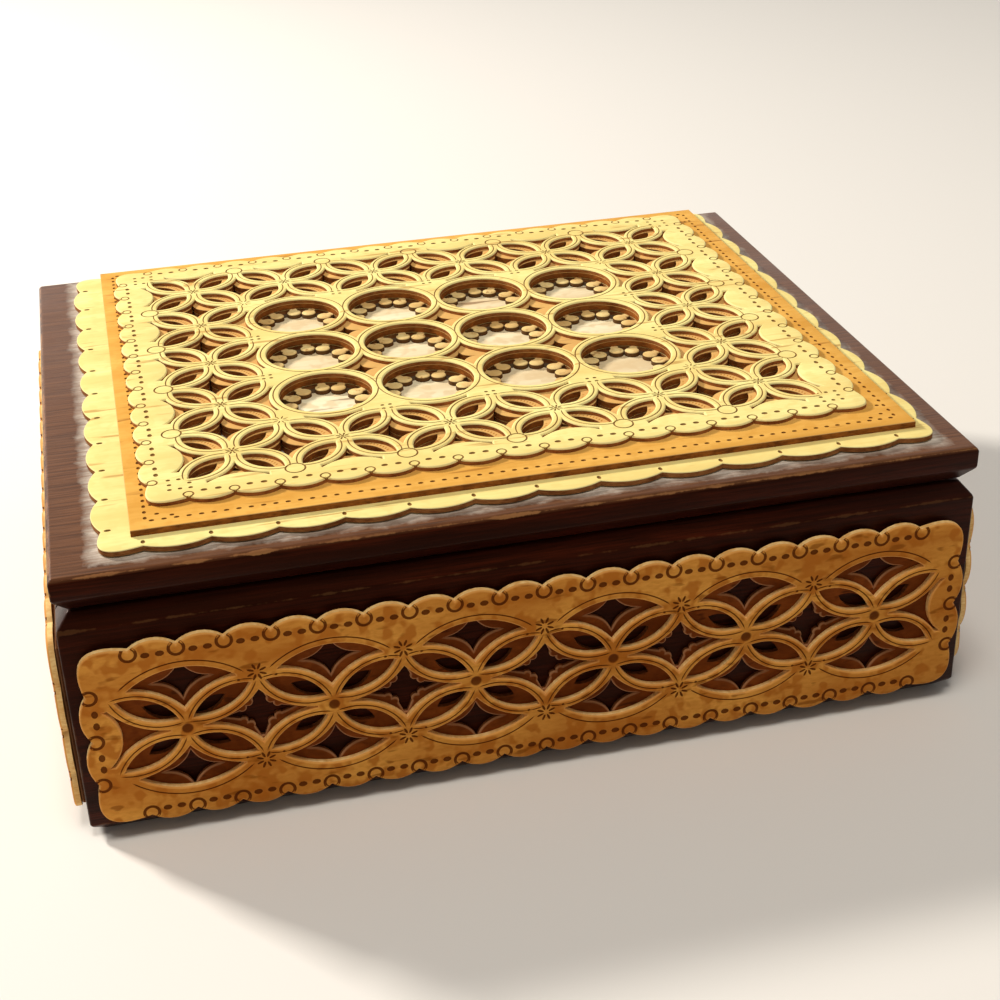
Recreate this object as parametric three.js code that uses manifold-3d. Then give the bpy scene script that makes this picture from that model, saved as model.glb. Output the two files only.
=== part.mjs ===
// A jewelry box of dark stained wood, dressed with cut and stamped birch bark.
// Millimetres, +Z up. The origin is the middle of the underside, +X is to the
// right and -Y is towards the person who opens the box.
import * as THREE from 'three';
import { mergeVertices } from 'three/addons/utils/BufferGeometryUtils.js';
import Module from 'manifold-3d';

const wasm = await Module();
wasm.setup();

// Driving dimensions of the woodwork
const boxWidth = 160;
const boxDepth = 132;
const bodyHeight = 44.1;
const wallThickness = 8;
const bottomThickness = 4;
const bottomRebate = 4;
const footChamfer = 2.4;
const rimBevelIn = 2.2;
const rimBevelDown = 2.6;
const seamGap = 0.4;
const lidThickness = 6.8;
const lidBevelUp = 2.8;
const lidEdgeRound = 0.6;
const liningThickness = 1;
const liningClearance = 1;

// Driving dimensions of the two hinges
const hingeFromSide = 34;
const hingeLength = 22;
const leafReach = 7;
const leafThickness = 0.8;
const knuckleRadius = 1.5;
const knuckleGap = 0.35;
const pinRadius = 0.6;
const pinClearance = 0.06;
const mortiseClearance = 0.15;
const screwSpacing = 14;
const screwFromPin = 4.4;
const screwHeadRadius = 1.4;
const screwShankRadius = 0.7;
const screwLength = 5;
const screwClearance = 0.1;

// Driving dimensions of the bark on the four walls
const panelMargin = 1.4;
const panelHeight = 36;
const panelMiddle = 20.9;
const panelThickness = 1.2;
const underThickness = 0.9;
const underInset = 2.2;
const panelLobe = 7.7;
const panelCornerLobe = 9.2;
const panelNotch = 1.4;
const flowerPitch = 24.6;
const panelStarRise = 9;
const panelEndMargin = 17;
const panelArch = { wing: 8.8, depth: 9, tip: 12.1 };
const panelTongue = { wing: 5.6, depth: 13.2, tip: 10.6 };
const panelPetal = {
  openLength: 11.2,
  openWidth: 4,
  edgeLength: 18,
  edgeWidth: 6.8,
  skew: 9,
  hub: 2.8,
};

// Driving dimensions of the bark on the lid. The lattice margin is how far the middles
// of the outer flowers lie inside the fretwork plate's edge, along X and along Y.
const backingThickness = 0.3;
const backingInset = 4;
const baseThickness = 1;
const baseSize = [147.4, 126];
const baseCentre = [1.2, 0.6];
const baseLobe = 10.95;
const baseCornerLobe = 8;
const baseNotch = 1.5;
const matThickness = 1.2;
const matSize = [137.8, 120];
const matCentre = [2.6, 2.2];
const fretThickness = 1;
const fretSize = [130.8, 110.4];
const fretCentre = [1.5, 3.4];
const fretLobe = 7.67;
const fretCornerLobe = 7.8;
const fretNotch = 1.4;
const lidPitch = 19.55;
const lidColumns = 6;
const lidRows = 5;
const latticeMargin = [16.525, 16.1];
const wellRadius = 8.7;
const wellBand = 1.9;
const toothCount = 12;
const toothRoot = 8;
const toothTip = 5.6;
const lidTongue = { wing: 5.3, depth: 10.6, tip: 8.4 };
const lidPetal = {
  openLength: 9.4,
  openWidth: 4.4,
  edgeLength: 13.8,
  edgeWidth: 8,
  skew: 0,
  hub: 2,
};

// How finely the round stretches are cut
const lobeSteps = 3;
const petalSteps = 3;
const starSteps = 2;
const tongueSteps = 2;
const archSteps = 4;
const wellSides = 16;
const knuckleSides = 16;
const pinSides = 12;
const screwSides = 10;
const holeMouth = 0.15; // how far a screw hole's cutter stands out of the leaf

// Places that follow from the driving dimensions
const lidBottom = bodyHeight + seamGap;
const lidTop = lidBottom + lidThickness;
const hingeY = boxDepth / 2;
const hingeZ = bodyHeight + seamGap / 2;
const insideWidth = boxWidth - 2 * wallThickness;
const insideDepth = boxDepth - 2 * wallThickness;

const stainedWood = new THREE.MeshStandardMaterial({ color: 0x3a1a10, roughness: 0.35, metalness: 0 });
const bareWood = new THREE.MeshStandardMaterial({ color: 0x6b4026, roughness: 0.6, metalness: 0 });
const felt = new THREE.MeshStandardMaterial({ color: 0x5a1620, roughness: 1, metalness: 0 });
const creamBark = new THREE.MeshStandardMaterial({ color: 0xe8cd8c, roughness: 0.65, metalness: 0 });
const ochreBark = new THREE.MeshStandardMaterial({ color: 0xd9a552, roughness: 0.65, metalness: 0 });
const tanBark = new THREE.MeshStandardMaterial({ color: 0xc8944f, roughness: 0.65, metalness: 0 });
const brownBark = new THREE.MeshStandardMaterial({ color: 0x8a5028, roughness: 0.7, metalness: 0 });
const brass = new THREE.MeshStandardMaterial({ color: 0xb08d45, roughness: 0.4, metalness: 0.9 });

// Closed geometry to solid and back, so that pieces can be cut by each other
function toSolid(geometry) {
  const bare = geometry.clone();
  bare.deleteAttribute('normal');
  bare.deleteAttribute('uv');
  const merged = mergeVertices(bare, 1e-4);
  const mesh = new wasm.Mesh({
    numProp: 3,
    vertProperties: new Float32Array(merged.attributes.position.array),
    triVerts: new Uint32Array(merged.index.array),
  });
  return new wasm.Manifold(mesh);
}

function toGeometry(solid) {
  const mesh = solid.getMesh();
  const geometry = new THREE.BufferGeometry();
  geometry.setAttribute('position', new THREE.BufferAttribute(new Float32Array(mesh.vertProperties), 3));
  geometry.setIndex(new THREE.BufferAttribute(new Uint32Array(mesh.triVerts), 1));
  geometry.computeVertexNormals();
  return geometry;
}

function join(solids) {
  return solids.reduce((whole, solid) => whole.add(solid));
}

function cut(solid, tools) {
  return tools.reduce((rest, tool) => rest.subtract(tool), solid);
}

// A box between two corners
function block(low, high) {
  const size = low.map((value, i) => high[i] - value);
  const geometry = new THREE.BoxGeometry(...size);
  geometry.translate(...low.map((value, i) => value + size[i] / 2));
  return toSolid(geometry);
}

// A round bar along X, centred on a point
function bar(radius, length, sides, centre) {
  const geometry = new THREE.CylinderGeometry(radius, radius, length, sides);
  geometry.rotateZ(Math.PI / 2);
  geometry.translate(...centre);
  return toSolid(geometry);
}

function piece(name, geometry, material) {
  const mesh = new THREE.Mesh(geometry, material);
  mesh.name = name;
  return mesh;
}

// A flat sheet cut to an outline with openings, lying on z = 0
function sheet(outline, openings, thickness) {
  const shape = new THREE.Shape(outline);
  shape.holes = openings.map((opening) => new THREE.Path(opening));
  return new THREE.ExtrudeGeometry(shape, { depth: thickness, bevelEnabled: false });
}

function rectangle([width, height]) {
  const x = width / 2;
  const y = height / 2;
  return [[-x, -y], [x, -y], [x, y], [-x, y]].map(([px, py]) => new THREE.Vector2(px, py));
}

function moved(points, x, y) {
  return points.map((point) => new THREE.Vector2(point.x + x, point.y + y));
}

// The points of an arc about a centre, from one point to another the short way round
function arc(centre, from, to, steps) {
  const radius = from.distanceTo(centre);
  const start = Math.atan2(from.y - centre.y, from.x - centre.x);
  const end = Math.atan2(to.y - centre.y, to.x - centre.x);
  const turn = Math.atan2(Math.sin(end - start), Math.cos(end - start));
  const points = [];
  for (let step = 0; step <= steps; step += 1) {
    const angle = start + (turn * step) / steps;
    points.push(new THREE.Vector2(
      centre.x + radius * Math.cos(angle),
      centre.y + radius * Math.sin(angle),
    ));
  }
  return points;
}

// The arc from one point to another that bulges to the left by a rise
function bulge(from, to, rise, steps) {
  const half = from.distanceTo(to) / 2;
  const radius = (half * half + rise * rise) / (2 * rise);
  const along = to.clone().sub(from).normalize();
  const left = new THREE.Vector2(-along.y, along.x);
  const centre = from.clone().add(to).multiplyScalar(0.5).addScaledVector(left, rise - radius);
  return arc(centre, from, to, steps);
}

// A scalloped outline: equal lobes along each side and a larger lobe round each corner
function scallops([width, height], lobe, cornerLobe, notch) {
  const points = [];
  const sides = [[width, height], [height, width], [width, height], [height, width]];
  sides.forEach(([length, across], side) => {
    const turn = (side * Math.PI) / 2;
    const centre = new THREE.Vector2();
    const count = Math.round((length - 2 * cornerLobe) / lobe);
    const step = (length - 2 * cornerLobe) / count;
    const start = cornerLobe - length / 2;
    const edge = notch - across / 2;
    for (let i = 0; i < count; i += 1) {
      const from = new THREE.Vector2(start + i * step, edge).rotateAround(centre, turn);
      const to = new THREE.Vector2(start + (i + 1) * step, edge).rotateAround(centre, turn);
      points.push(...bulge(to, from, notch, lobeSteps).reverse().slice(0, -1));
    }
    const last = new THREE.Vector2(length / 2 - cornerLobe, edge);
    const next = new THREE.Vector2(length / 2 - notch, cornerLobe - across / 2);
    const corner = new THREE.Vector2(length / 2 + notch, -across / 2 - notch);
    const round = new THREE.QuadraticBezierCurve(last, corner, next).getPoints(2 * lobeSteps);
    points.push(...round.slice(0, -1).map((point) => point.rotateAround(centre, turn)));
  });
  return points;
}

// Circle of an arc with a given length between its ends and a given rise
function arcRadius(length, rise) {
  return (length * length) / (8 * rise) + rise / 2;
}

// A pointed petal opening between a flower and a star that lie a step apart
function petalOpening(flower, reach, petal) {
  const side = Math.sign(reach.x * reach.y);
  const skew = (-side * petal.skew * Math.PI) / 180;
  const axis = reach.clone().normalize().rotateAround(new THREE.Vector2(), skew);
  const middle = flower.clone().addScaledVector(reach, 0.5);
  const tip = middle.clone().addScaledVector(axis, petal.openLength / 2);
  const root = middle.clone().addScaledVector(axis, -petal.openLength / 2);
  const rise = petal.openWidth / 2;
  return [
    ...bulge(root, tip, rise, petalSteps).slice(0, -1),
    ...bulge(tip, root, rise, petalSteps).slice(0, -1),
  ];
}

// The circle that a petal's outer edge follows on its far side, seen from an opening
// whose middle lies at the origin: the petal spans the quadrant of the given reach
function petalEdge(reach, petal) {
  const skew = (petal.skew * Math.PI) / 180;
  const radius = arcRadius(petal.edgeLength, petal.edgeWidth / 2);
  const away = radius - petal.edgeWidth / 2;
  const tilt = Math.atan2(reach.y, reach.x) - skew;
  return {
    radius,
    flat: new THREE.Vector2(reach.x / 2 + away * Math.sin(tilt), reach.y / 2 + away * Math.cos(tilt)),
  };
}

// Where a circle leaves the round hub of a node, on the side nearer to the aim
function leaveHub(centre, radius, node, hub, aim) {
  const toNode = node.clone().sub(centre);
  const distance = toNode.length();
  const along = (radius * radius - hub * hub + distance * distance) / (2 * distance);
  const across = Math.sqrt(Math.max(0, radius * radius - along * along));
  const unit = toNode.normalize();
  const foot = centre.clone().addScaledVector(unit, along);
  const one = foot.clone().addScaledVector(new THREE.Vector2(-unit.y, unit.x), across);
  const two = foot.clone().addScaledVector(new THREE.Vector2(unit.y, -unit.x), across);
  return one.distanceTo(aim) < two.distanceTo(aim) ? one : two;
}

// One quarter of the star-shaped opening between four petals, from the node on the
// X axis to the node on the Y axis, for an opening whose middle is the origin
function starQuarter(reach, petal, steps) {
  const edge = petalEdge(reach, petal);
  const nodeX = new THREE.Vector2(reach.x, 0);
  const nodeY = new THREE.Vector2(0, reach.y);
  const aim = new THREE.Vector2();
  const crossX = edge.flat.x - Math.sqrt(Math.max(0, edge.radius ** 2 - edge.flat.y ** 2));
  const crossY = edge.flat.y - Math.sqrt(Math.max(0, edge.radius ** 2 - edge.flat.x ** 2));
  const reachesX = edge.flat.y < edge.radius && reach.x - crossX > petal.hub;
  const reachesY = edge.flat.x < edge.radius && reach.y - crossY > petal.hub;
  const from = reachesX
    ? new THREE.Vector2(crossX, 0)
    : leaveHub(edge.flat, edge.radius, nodeX, petal.hub, aim);
  const to = reachesY
    ? new THREE.Vector2(0, crossY)
    : leaveHub(edge.flat, edge.radius, nodeY, petal.hub, aim);
  return arc(edge.flat, from, to, steps);
}

// Mirrors or stretches points by a factor along X and along Y
function mirrored(points, x, y) {
  return points.map((point) => new THREE.Vector2(point.x * x, point.y * y));
}

// Leaves out points that repeat the one before them
function withoutRepeats(points) {
  return points.filter((point, i) => point.distanceTo(points.at(i - 1)) > 0.01);
}

// A whole star opening from its quarter between the tips on +X and +Y
function starOpening(centre, quarter) {
  const whole = [
    ...quarter,
    ...mirrored(quarter, -1, 1).reverse(),
    ...mirrored(quarter, -1, -1),
    ...mirrored(quarter, 1, -1).reverse(),
  ];
  return moved(withoutRepeats(whole), centre.x, centre.y);
}

// The opening between a flower and a border or well that bulges towards it or away.
// The flower lies at the origin and the border on +X: the opening's wings end at
// wing to either side and at depth from the flower, and its middle lies at tip.
function edgeOpening(reach, petal, { wing, depth, tip }, steps) {
  const edge = petalEdge(reach, petal);
  const quarter = starQuarter(reach, petal, starSteps);
  const wingX = edge.flat.x - Math.sqrt(edge.radius ** 2 - (wing - edge.flat.y) ** 2);
  const wingPoint = new THREE.Vector2(wingX, wing);
  const side = arc(edge.flat, quarter[0], wingPoint, starSteps);
  const border = bulge(
    new THREE.Vector2(reach.x - depth, wing),
    new THREE.Vector2(reach.x - depth, -wing),
    depth - tip,
    steps,
  );
  const whole = [...side, ...border, ...mirrored(side, 1, -1).reverse()];
  return withoutRepeats(whole).map((point) => new THREE.Vector2(reach.x - point.x, point.y));
}

function turned(points, angle) {
  return points.map((point) => point.clone().rotateAround(new THREE.Vector2(), angle));
}

// The four petals round a flower
function petalOpenings(flower, reach, petal) {
  const quadrants = [[1, 1], [-1, 1], [-1, -1], [1, -1]];
  return quadrants.map(([x, y]) => {
    const towards = new THREE.Vector2(reach.x * x, reach.y * y);
    return petalOpening(flower, towards, petal);
  });
}

// The openings of a wall's fretwork: one row of flowers between two rows of stars, drawn
// at the even pitch and then stretched a little to fill the wall's length
function panelOpenings(length) {
  const row = length - 2 * panelEndMargin;
  const count = Math.round(row / flowerPitch) + 1;
  const stretch = row / ((count - 1) * flowerPitch);
  const reach = new THREE.Vector2(flowerPitch / 2, panelStarRise);
  const upright = new THREE.Vector2(panelStarRise, flowerPitch / 2);
  const uprightPetal = { ...panelPetal, skew: -panelPetal.skew };
  const arch = edgeOpening(upright, uprightPetal, panelArch, archSteps);
  const tongue = edgeOpening(reach, panelPetal, panelTongue, tongueSteps);
  const openings = [];
  for (let i = 0; i < count; i += 1) {
    const flower = new THREE.Vector2((i - (count - 1) / 2) * flowerPitch, 0);
    openings.push(...petalOpenings(flower, reach, panelPetal));
    openings.push(moved(turned(arch, Math.PI / 2), flower.x, 0));
    openings.push(moved(turned(arch, -Math.PI / 2), flower.x, 0));
    if (i > 0) {
      const middle = new THREE.Vector2(flower.x - flowerPitch / 2, 0);
      openings.push(starOpening(middle, starQuarter(reach, panelPetal, starSteps)));
    }
  }
  const end = ((count - 1) / 2) * flowerPitch;
  openings.push(moved(tongue, end, 0));
  openings.push(moved(turned(tongue, Math.PI), -end, 0));
  return openings.map((opening) => mirrored(opening, stretch, 1));
}

// The round wells that take the place of the inner flowers of the lid's fretwork
function isWell(column, row) {
  return column > 0 && column < lidColumns - 1 && row > 0 && row < lidRows - 1;
}

function isOutside(column, row) {
  return column < 0 || column >= lidColumns || row < 0 || row >= lidRows;
}

function latticePoint(column, row) {
  return new THREE.Vector2(
    (column - (lidColumns - 1) / 2) * lidPitch,
    (row - (lidRows - 1) / 2) * lidPitch,
  );
}

// The lattice is drawn at an even pitch about the origin, and then stretched to fill
// the fretwork plate and moved to its middle
function fitted(openings) {
  const [x, y] = [lidColumns, lidRows].map((count, i) => {
    return (fretSize[i] - 2 * latticeMargin[i]) / ((count - 1) * lidPitch);
  });
  return openings.map((opening) => moved(mirrored(opening, x, y), ...fretCentre));
}

function forEachCell(visit) {
  for (let column = 0; column < lidColumns; column += 1) {
    for (let row = 0; row < lidRows; row += 1) {
      visit(column, row, latticePoint(column, row));
    }
  }
}

function circle(centre, radius, sides) {
  const points = [];
  for (let side = 0; side < sides; side += 1) {
    const angle = (2 * Math.PI * side) / sides;
    points.push(new THREE.Vector2(radius * Math.cos(angle), radius * Math.sin(angle)).add(centre));
  }
  return points;
}

// The round wells as openings of a lid sheet
function wellOpenings(outlineAt) {
  const openings = [];
  forEachCell((column, row, centre) => {
    if (isWell(column, row)) {
      openings.push(outlineAt(centre));
    }
  });
  return openings;
}

// The toothed ring at the foot of a well
function toothedRing(centre) {
  const tips = circle(new THREE.Vector2(), toothTip, toothCount);
  const roots = turned(circle(new THREE.Vector2(), toothRoot, toothCount), Math.PI / toothCount);
  return moved(tips.flatMap((tip, i) => [tip, roots[i]]), centre.x, centre.y);
}

// The openings of the lid's fretwork: flowers and stars round a field of wells
function lidOpenings() {
  const half = lidPitch / 2;
  const reach = new THREE.Vector2(half, half);
  const wellEdge = wellRadius + wellBand;
  const wellTongue = {
    wing: lidTongue.wing,
    depth: lidPitch - Math.sqrt(wellEdge ** 2 - lidTongue.wing ** 2),
    tip: lidPitch - wellEdge,
  };
  const wellTip = half - Math.sqrt(wellEdge ** 2 - half ** 2);
  const wellStar = arc(
    reach,
    new THREE.Vector2(wellTip, 0),
    new THREE.Vector2(0, wellTip),
    starSteps,
  );
  const towards = [[1, 0], [0, 1], [-1, 0], [0, -1]];
  const openings = wellOpenings((centre) => circle(centre, wellRadius, wellSides));
  forEachCell((column, row, centre) => {
    if (isWell(column, row)) {
      if (isWell(column + 1, row) && isWell(column, row + 1)) {
        openings.push(starOpening(centre.clone().add(reach), wellStar));
      }
      return;
    }
    openings.push(...petalOpenings(centre, reach, lidPetal));
    towards.forEach(([x, y], side) => {
      const facesWell = isWell(column + x, row + y);
      if (isOutside(column + x, row + y) || facesWell) {
        const edge = edgeOpening(reach, lidPetal, facesWell ? wellTongue : lidTongue, tongueSteps);
        openings.push(moved(turned(edge, (side * Math.PI) / 2), centre.x, centre.y));
      } else if (side < 2) {
        const middle = new THREE.Vector2(x * half, y * half).add(centre);
        openings.push(starOpening(middle, starQuarter(reach, lidPetal, starSteps)));
      }
    });
  });
  return openings;
}

// A block whose long edges are bevelled all round, top and bottom
function bevelledBlock(low, high, bottomBevel, topBevel) {
  const profile = (half) => new THREE.Shape([
    new THREE.Vector2(half - bottomBevel[0], low),
    new THREE.Vector2(half, low + bottomBevel[1]),
    new THREE.Vector2(half, high - topBevel[1]),
    new THREE.Vector2(half - topBevel[0], high),
    new THREE.Vector2(topBevel[0] - half, high),
    new THREE.Vector2(-half, high - topBevel[1]),
    new THREE.Vector2(-half, low + bottomBevel[1]),
    new THREE.Vector2(bottomBevel[0] - half, low),
  ]);
  const alongSettings = { depth: boxWidth, bevelEnabled: false };
  const along = new THREE.ExtrudeGeometry(profile(boxDepth / 2), alongSettings);
  along.translate(0, 0, -boxWidth / 2);
  along.applyMatrix4(new THREE.Matrix4().makeBasis(
    new THREE.Vector3(0, 1, 0),
    new THREE.Vector3(0, 0, 1),
    new THREE.Vector3(1, 0, 0),
  ));
  const acrossSettings = { depth: boxDepth, bevelEnabled: false };
  const across = new THREE.ExtrudeGeometry(profile(boxWidth / 2), acrossSettings);
  across.rotateX(Math.PI / 2);
  across.translate(0, boxDepth / 2, 0);
  return toSolid(along).intersect(toSolid(across));
}

// A countersunk wood screw pointing down from its head, which lies at z = 0. With a clearance
// it is the hole for the screw, which opens a little above the leaf so that no film stays on it.
function screw(clearance) {
  const head = screwHeadRadius + clearance;
  const shank = screwShankRadius + clearance;
  const mouth = clearance > 0 ? [[head, holeMouth], [0, holeMouth]] : [[0, 0]];
  const profile = [
    [0, -screwLength - clearance],
    [shank, -screwLength - clearance],
    [shank, shank - head],
    [head, 0],
    ...mouth,
  ].map(([x, y]) => new THREE.Vector2(x, y));
  const geometry = new THREE.LatheGeometry(profile, screwSides);
  geometry.rotateX(Math.PI / 2);
  return toSolid(geometry);
}

// Each hinge is made at x = 0 with its pin on the X axis, and then moved to its place
const hingePlaces = [hingeFromSide - boxWidth / 2, boxWidth / 2 - hingeFromSide];
const knuckleLength = (hingeLength - 2 * knuckleGap) / 3;
const leafTop = -seamGap / 2;
const leafHalf = hingeLength / 2;
const knuckleStep = knuckleLength + knuckleGap;
const tabSpan = knuckleLength / 2;
const tabClear = knuckleRadius + 2 * mortiseClearance;

function screwsOf(clearance) {
  return [-screwSpacing / 2, screwSpacing / 2].map((x) => {
    const place = [x, -screwFromPin, leafTop];
    return screw(clearance).translate(place);
  });
}

function leaf(knuckles) {
  const leafBottom = leafTop - leafThickness;
  const plate = block([-leafHalf, -leafReach, leafBottom], [leafHalf, -tabClear, leafTop]);
  const tabs = knuckles.map((x) => block(
    [x - tabSpan, -leafReach, leafBottom],
    [x + tabSpan, 0, leafTop],
  ));
  const rolls = knuckles.map((x) => bar(knuckleRadius, knuckleLength, knuckleSides, [x, 0, 0]));
  const bore = bar(pinRadius + pinClearance, 2 * hingeLength, pinSides, [0, 0, 0]);
  return cut(join([...rolls, plate, ...tabs]), [bore, ...screwsOf(screwClearance)]);
}

// The recess that a leaf lies in, with the holes for its screws
function mortise() {
  const recess = block(
    [-leafHalf - mortiseClearance, -leafReach - mortiseClearance, leafTop - leafThickness],
    [leafHalf + mortiseClearance, knuckleRadius, knuckleRadius],
  );
  return join([recess, ...screwsOf(screwClearance)]);
}

// The lid's half of a hinge is the body's half turned upside down
function placedAtHinges(solid, upsideDown) {
  const seated = upsideDown ? solid.rotate([0, 180, 0]) : solid;
  return hingePlaces.map((x) => seated.translate([x, hingeY, hingeZ]));
}

function woodenBody() {
  const shell = bevelledBlock(0, bodyHeight, [footChamfer, footChamfer], [rimBevelIn, rimBevelDown]);
  const inX = insideWidth / 2;
  const inY = insideDepth / 2;
  const outX = boxWidth / 2;
  const outY = boxDepth / 2;
  const floorX = inX + bottomRebate;
  const floorY = inY + bottomRebate;
  const floor = block([-floorX, -floorY, 0], [floorX, floorY, bottomThickness]);
  const mortises = placedAtHinges(mortise(), false);
  const wall = (low, high) => {
    const solid = shell.intersect(block([...low, 0], [...high, bodyHeight]));
    return toGeometry(cut(solid, [floor, ...mortises]));
  };
  const lining = block(
    [-inX + liningClearance / 2, -inY + liningClearance / 2, bottomThickness],
    [inX - liningClearance / 2, inY - liningClearance / 2, bottomThickness + liningThickness],
  );
  return [
    piece('bottom_board', toGeometry(floor), bareWood),
    piece('front_wall', wall([-outX, -outY], [outX, -inY]), stainedWood),
    piece('back_wall', wall([-outX, inY], [outX, outY]), stainedWood),
    piece('left_wall', wall([-outX, -inY], [-inX, inY]), stainedWood),
    piece('right_wall', wall([inX, -inY], [outX, inY]), stainedWood),
    piece('bottom_lining', toGeometry(lining), felt),
  ];
}

// The bark on one wall: a darker cut sheet against the wood and the fretwork over it
function wallPanel(side, length, wallDistance, angle) {
  const underSize = [length - 2 * underInset, panelHeight - 2 * underInset];
  const under = sheet(rectangle(underSize), [], underThickness);
  const outline = scallops([length, panelHeight], panelLobe, panelCornerLobe, panelNotch);
  const fretwork = sheet(outline, panelOpenings(length), panelThickness);
  const panel = new THREE.Group();
  panel.add(piece(`${side}_under_panel`, under, brownBark));
  panel.add(piece(`${side}_fretwork_panel`, fretwork, tanBark));
  panel.children[1].position.z = underThickness;
  panel.rotation.x = Math.PI / 2;
  panel.position.set(0, -wallDistance, panelMiddle);
  const placed = new THREE.Group();
  placed.add(panel);
  placed.rotation.z = angle;
  return placed;
}

function hinges() {
  const [outerScrew, innerScrew] = screwsOf(0);
  const parts = [
    ['body_leaf', leaf([-knuckleStep, knuckleStep]), false],
    ['lid_leaf', leaf([0]), true],
    ['pin', bar(pinRadius, hingeLength, pinSides, [0, 0, 0]), false],
    ['body_screw_1', outerScrew, false],
    ['body_screw_2', innerScrew, false],
    ['lid_screw_1', outerScrew, true],
    ['lid_screw_2', innerScrew, true],
  ];
  return parts.flatMap(([name, solid, onLid]) => {
    const [left, right] = placedAtHinges(solid, onLid);
    return [
      piece(`left_hinge_${name}`, toGeometry(left), brass),
      piece(`right_hinge_${name}`, toGeometry(right), brass),
    ];
  });
}

// The lid board and the sheets of bark stacked on it
function lid() {
  const board = bevelledBlock(lidBottom, lidTop, [rimBevelIn, lidBevelUp], [lidEdgeRound, lidEdgeRound]);
  const mortises = placedAtHinges(mortise(), true);
  const inX = insideWidth / 2 - liningClearance;
  const inY = insideDepth / 2 - liningClearance;
  const lining = block([-inX, -inY, lidBottom - liningThickness], [inX, inY, lidBottom]);
  const backingSize = baseSize.map((value) => value - 2 * backingInset);
  const backing = moved(rectangle(backingSize), ...baseCentre);
  const base = moved(scallops(baseSize, baseLobe, baseCornerLobe, baseNotch), ...baseCentre);
  const mat = moved(rectangle(matSize), ...matCentre);
  const fret = moved(scallops(fretSize, fretLobe, fretCornerLobe, fretNotch), ...fretCentre);
  const roundWells = fitted(wellOpenings((centre) => circle(centre, wellRadius, wellSides)));
  const layers = [
    ['lid_backing_sheet', backing, [], backingThickness, creamBark],
    ['lid_base_plate', base, fitted(wellOpenings(toothedRing)), baseThickness, creamBark],
    ['lid_mat_plate', mat, roundWells, matThickness, ochreBark],
    ['lid_fretwork_plate', fret, fitted(lidOpenings()), fretThickness, creamBark],
  ];
  const pieces = [
    piece('lid_board', toGeometry(cut(board, mortises)), stainedWood),
    piece('lid_lining', toGeometry(lining), felt),
  ];
  let height = lidTop;
  layers.forEach(([name, outline, openings, thickness, material]) => {
    const layer = piece(name, sheet(outline, openings, thickness), material);
    layer.position.z = height;
    height += thickness;
    pieces.push(layer);
  });
  return pieces;
}

const longPanel = boxWidth - 2 * panelMargin;
const shortPanel = boxDepth - 2 * panelMargin;
const box = new THREE.Group();
box.add(...woodenBody());
box.add(wallPanel('front', longPanel, boxDepth / 2, 0));
box.add(wallPanel('back', longPanel, boxDepth / 2, Math.PI));
box.add(wallPanel('left', shortPanel, boxWidth / 2, -Math.PI / 2));
box.add(wallPanel('right', shortPanel, boxWidth / 2, Math.PI / 2));
box.add(...hinges());
box.add(...lid());

export default box;
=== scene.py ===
"""A jewelry box of dark stained wood dressed with cut and stamped birch bark."""
import cmath
import math

import bmesh
import bpy
from mathutils import Matrix, Vector
from mathutils.geometry import delaunay_2d_cdt


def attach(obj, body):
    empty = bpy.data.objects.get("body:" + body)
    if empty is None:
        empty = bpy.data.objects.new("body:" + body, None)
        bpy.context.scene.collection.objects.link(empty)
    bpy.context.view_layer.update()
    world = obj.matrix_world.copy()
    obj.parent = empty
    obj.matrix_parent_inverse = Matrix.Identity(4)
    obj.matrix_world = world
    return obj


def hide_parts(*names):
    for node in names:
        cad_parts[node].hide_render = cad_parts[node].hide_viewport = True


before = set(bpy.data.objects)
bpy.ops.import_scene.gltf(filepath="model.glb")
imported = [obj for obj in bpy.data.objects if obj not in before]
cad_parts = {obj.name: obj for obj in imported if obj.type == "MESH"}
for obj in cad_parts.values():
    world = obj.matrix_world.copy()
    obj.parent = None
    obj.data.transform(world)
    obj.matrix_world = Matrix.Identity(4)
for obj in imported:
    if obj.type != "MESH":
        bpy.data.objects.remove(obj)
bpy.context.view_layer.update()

MM = 0.001


# ---- The view ----
# The box is seen from the front, a little to its left, at the height of a seated person.

camera_place = Vector((-62.4, -304.3, 188.0)) * MM
camera_right = Vector((0.97007, -0.24140, -0.02622))
camera_up = Vector((0.13808, 0.45956, 0.87735))
camera_forward = Vector((0.19974, 0.85471, -0.47913))
def new_object(name, data):
    """An object with this data that stands in the scene."""
    made = bpy.data.objects.new(name, data)
    bpy.context.scene.collection.objects.link(made)
    return made


camera_data = bpy.data.cameras.new("camera")
camera_data.sensor_width = 36
camera_data.lens = 61.13
camera = new_object("camera", camera_data)
turn = Matrix((camera_right, camera_up, -camera_forward)).transposed().to_4x4()
camera.matrix_world = Matrix.Translation(camera_place) @ turn
bpy.context.scene.camera = camera
bpy.context.scene.view_settings.view_transform = "Standard"


def linear(hex_code):
    """An sRGB hex colour as Blender's linear red, green, blue and alpha."""
    channels = [int(hex_code[i:i + 2], 16) / 255 for i in (1, 3, 5)]
    return [c / 12.92 if c <= 0.04045 else ((c + 0.055) / 1.055) ** 2.4 for c in channels] + [1]


def add(tree, kind, inputs=(), **settings):
    """Adds a node and returns its outputs. Its inputs, by name or number, are values or outputs
    of other nodes."""
    new = tree.nodes.new(kind)
    for name, value in settings.items():
        setattr(new, name, value)
    for key, value in dict(inputs).items():
        if isinstance(value, bpy.types.NodeSocket):
            tree.links.new(value, new.inputs[key])
        else:
            new.inputs[key].default_value = value
    return new.outputs


def new_material(name):
    """An empty node material and its tree."""
    material = bpy.data.materials.new(name)
    material.use_nodes = True
    material.node_tree.nodes.clear()
    return material, material.node_tree


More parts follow.
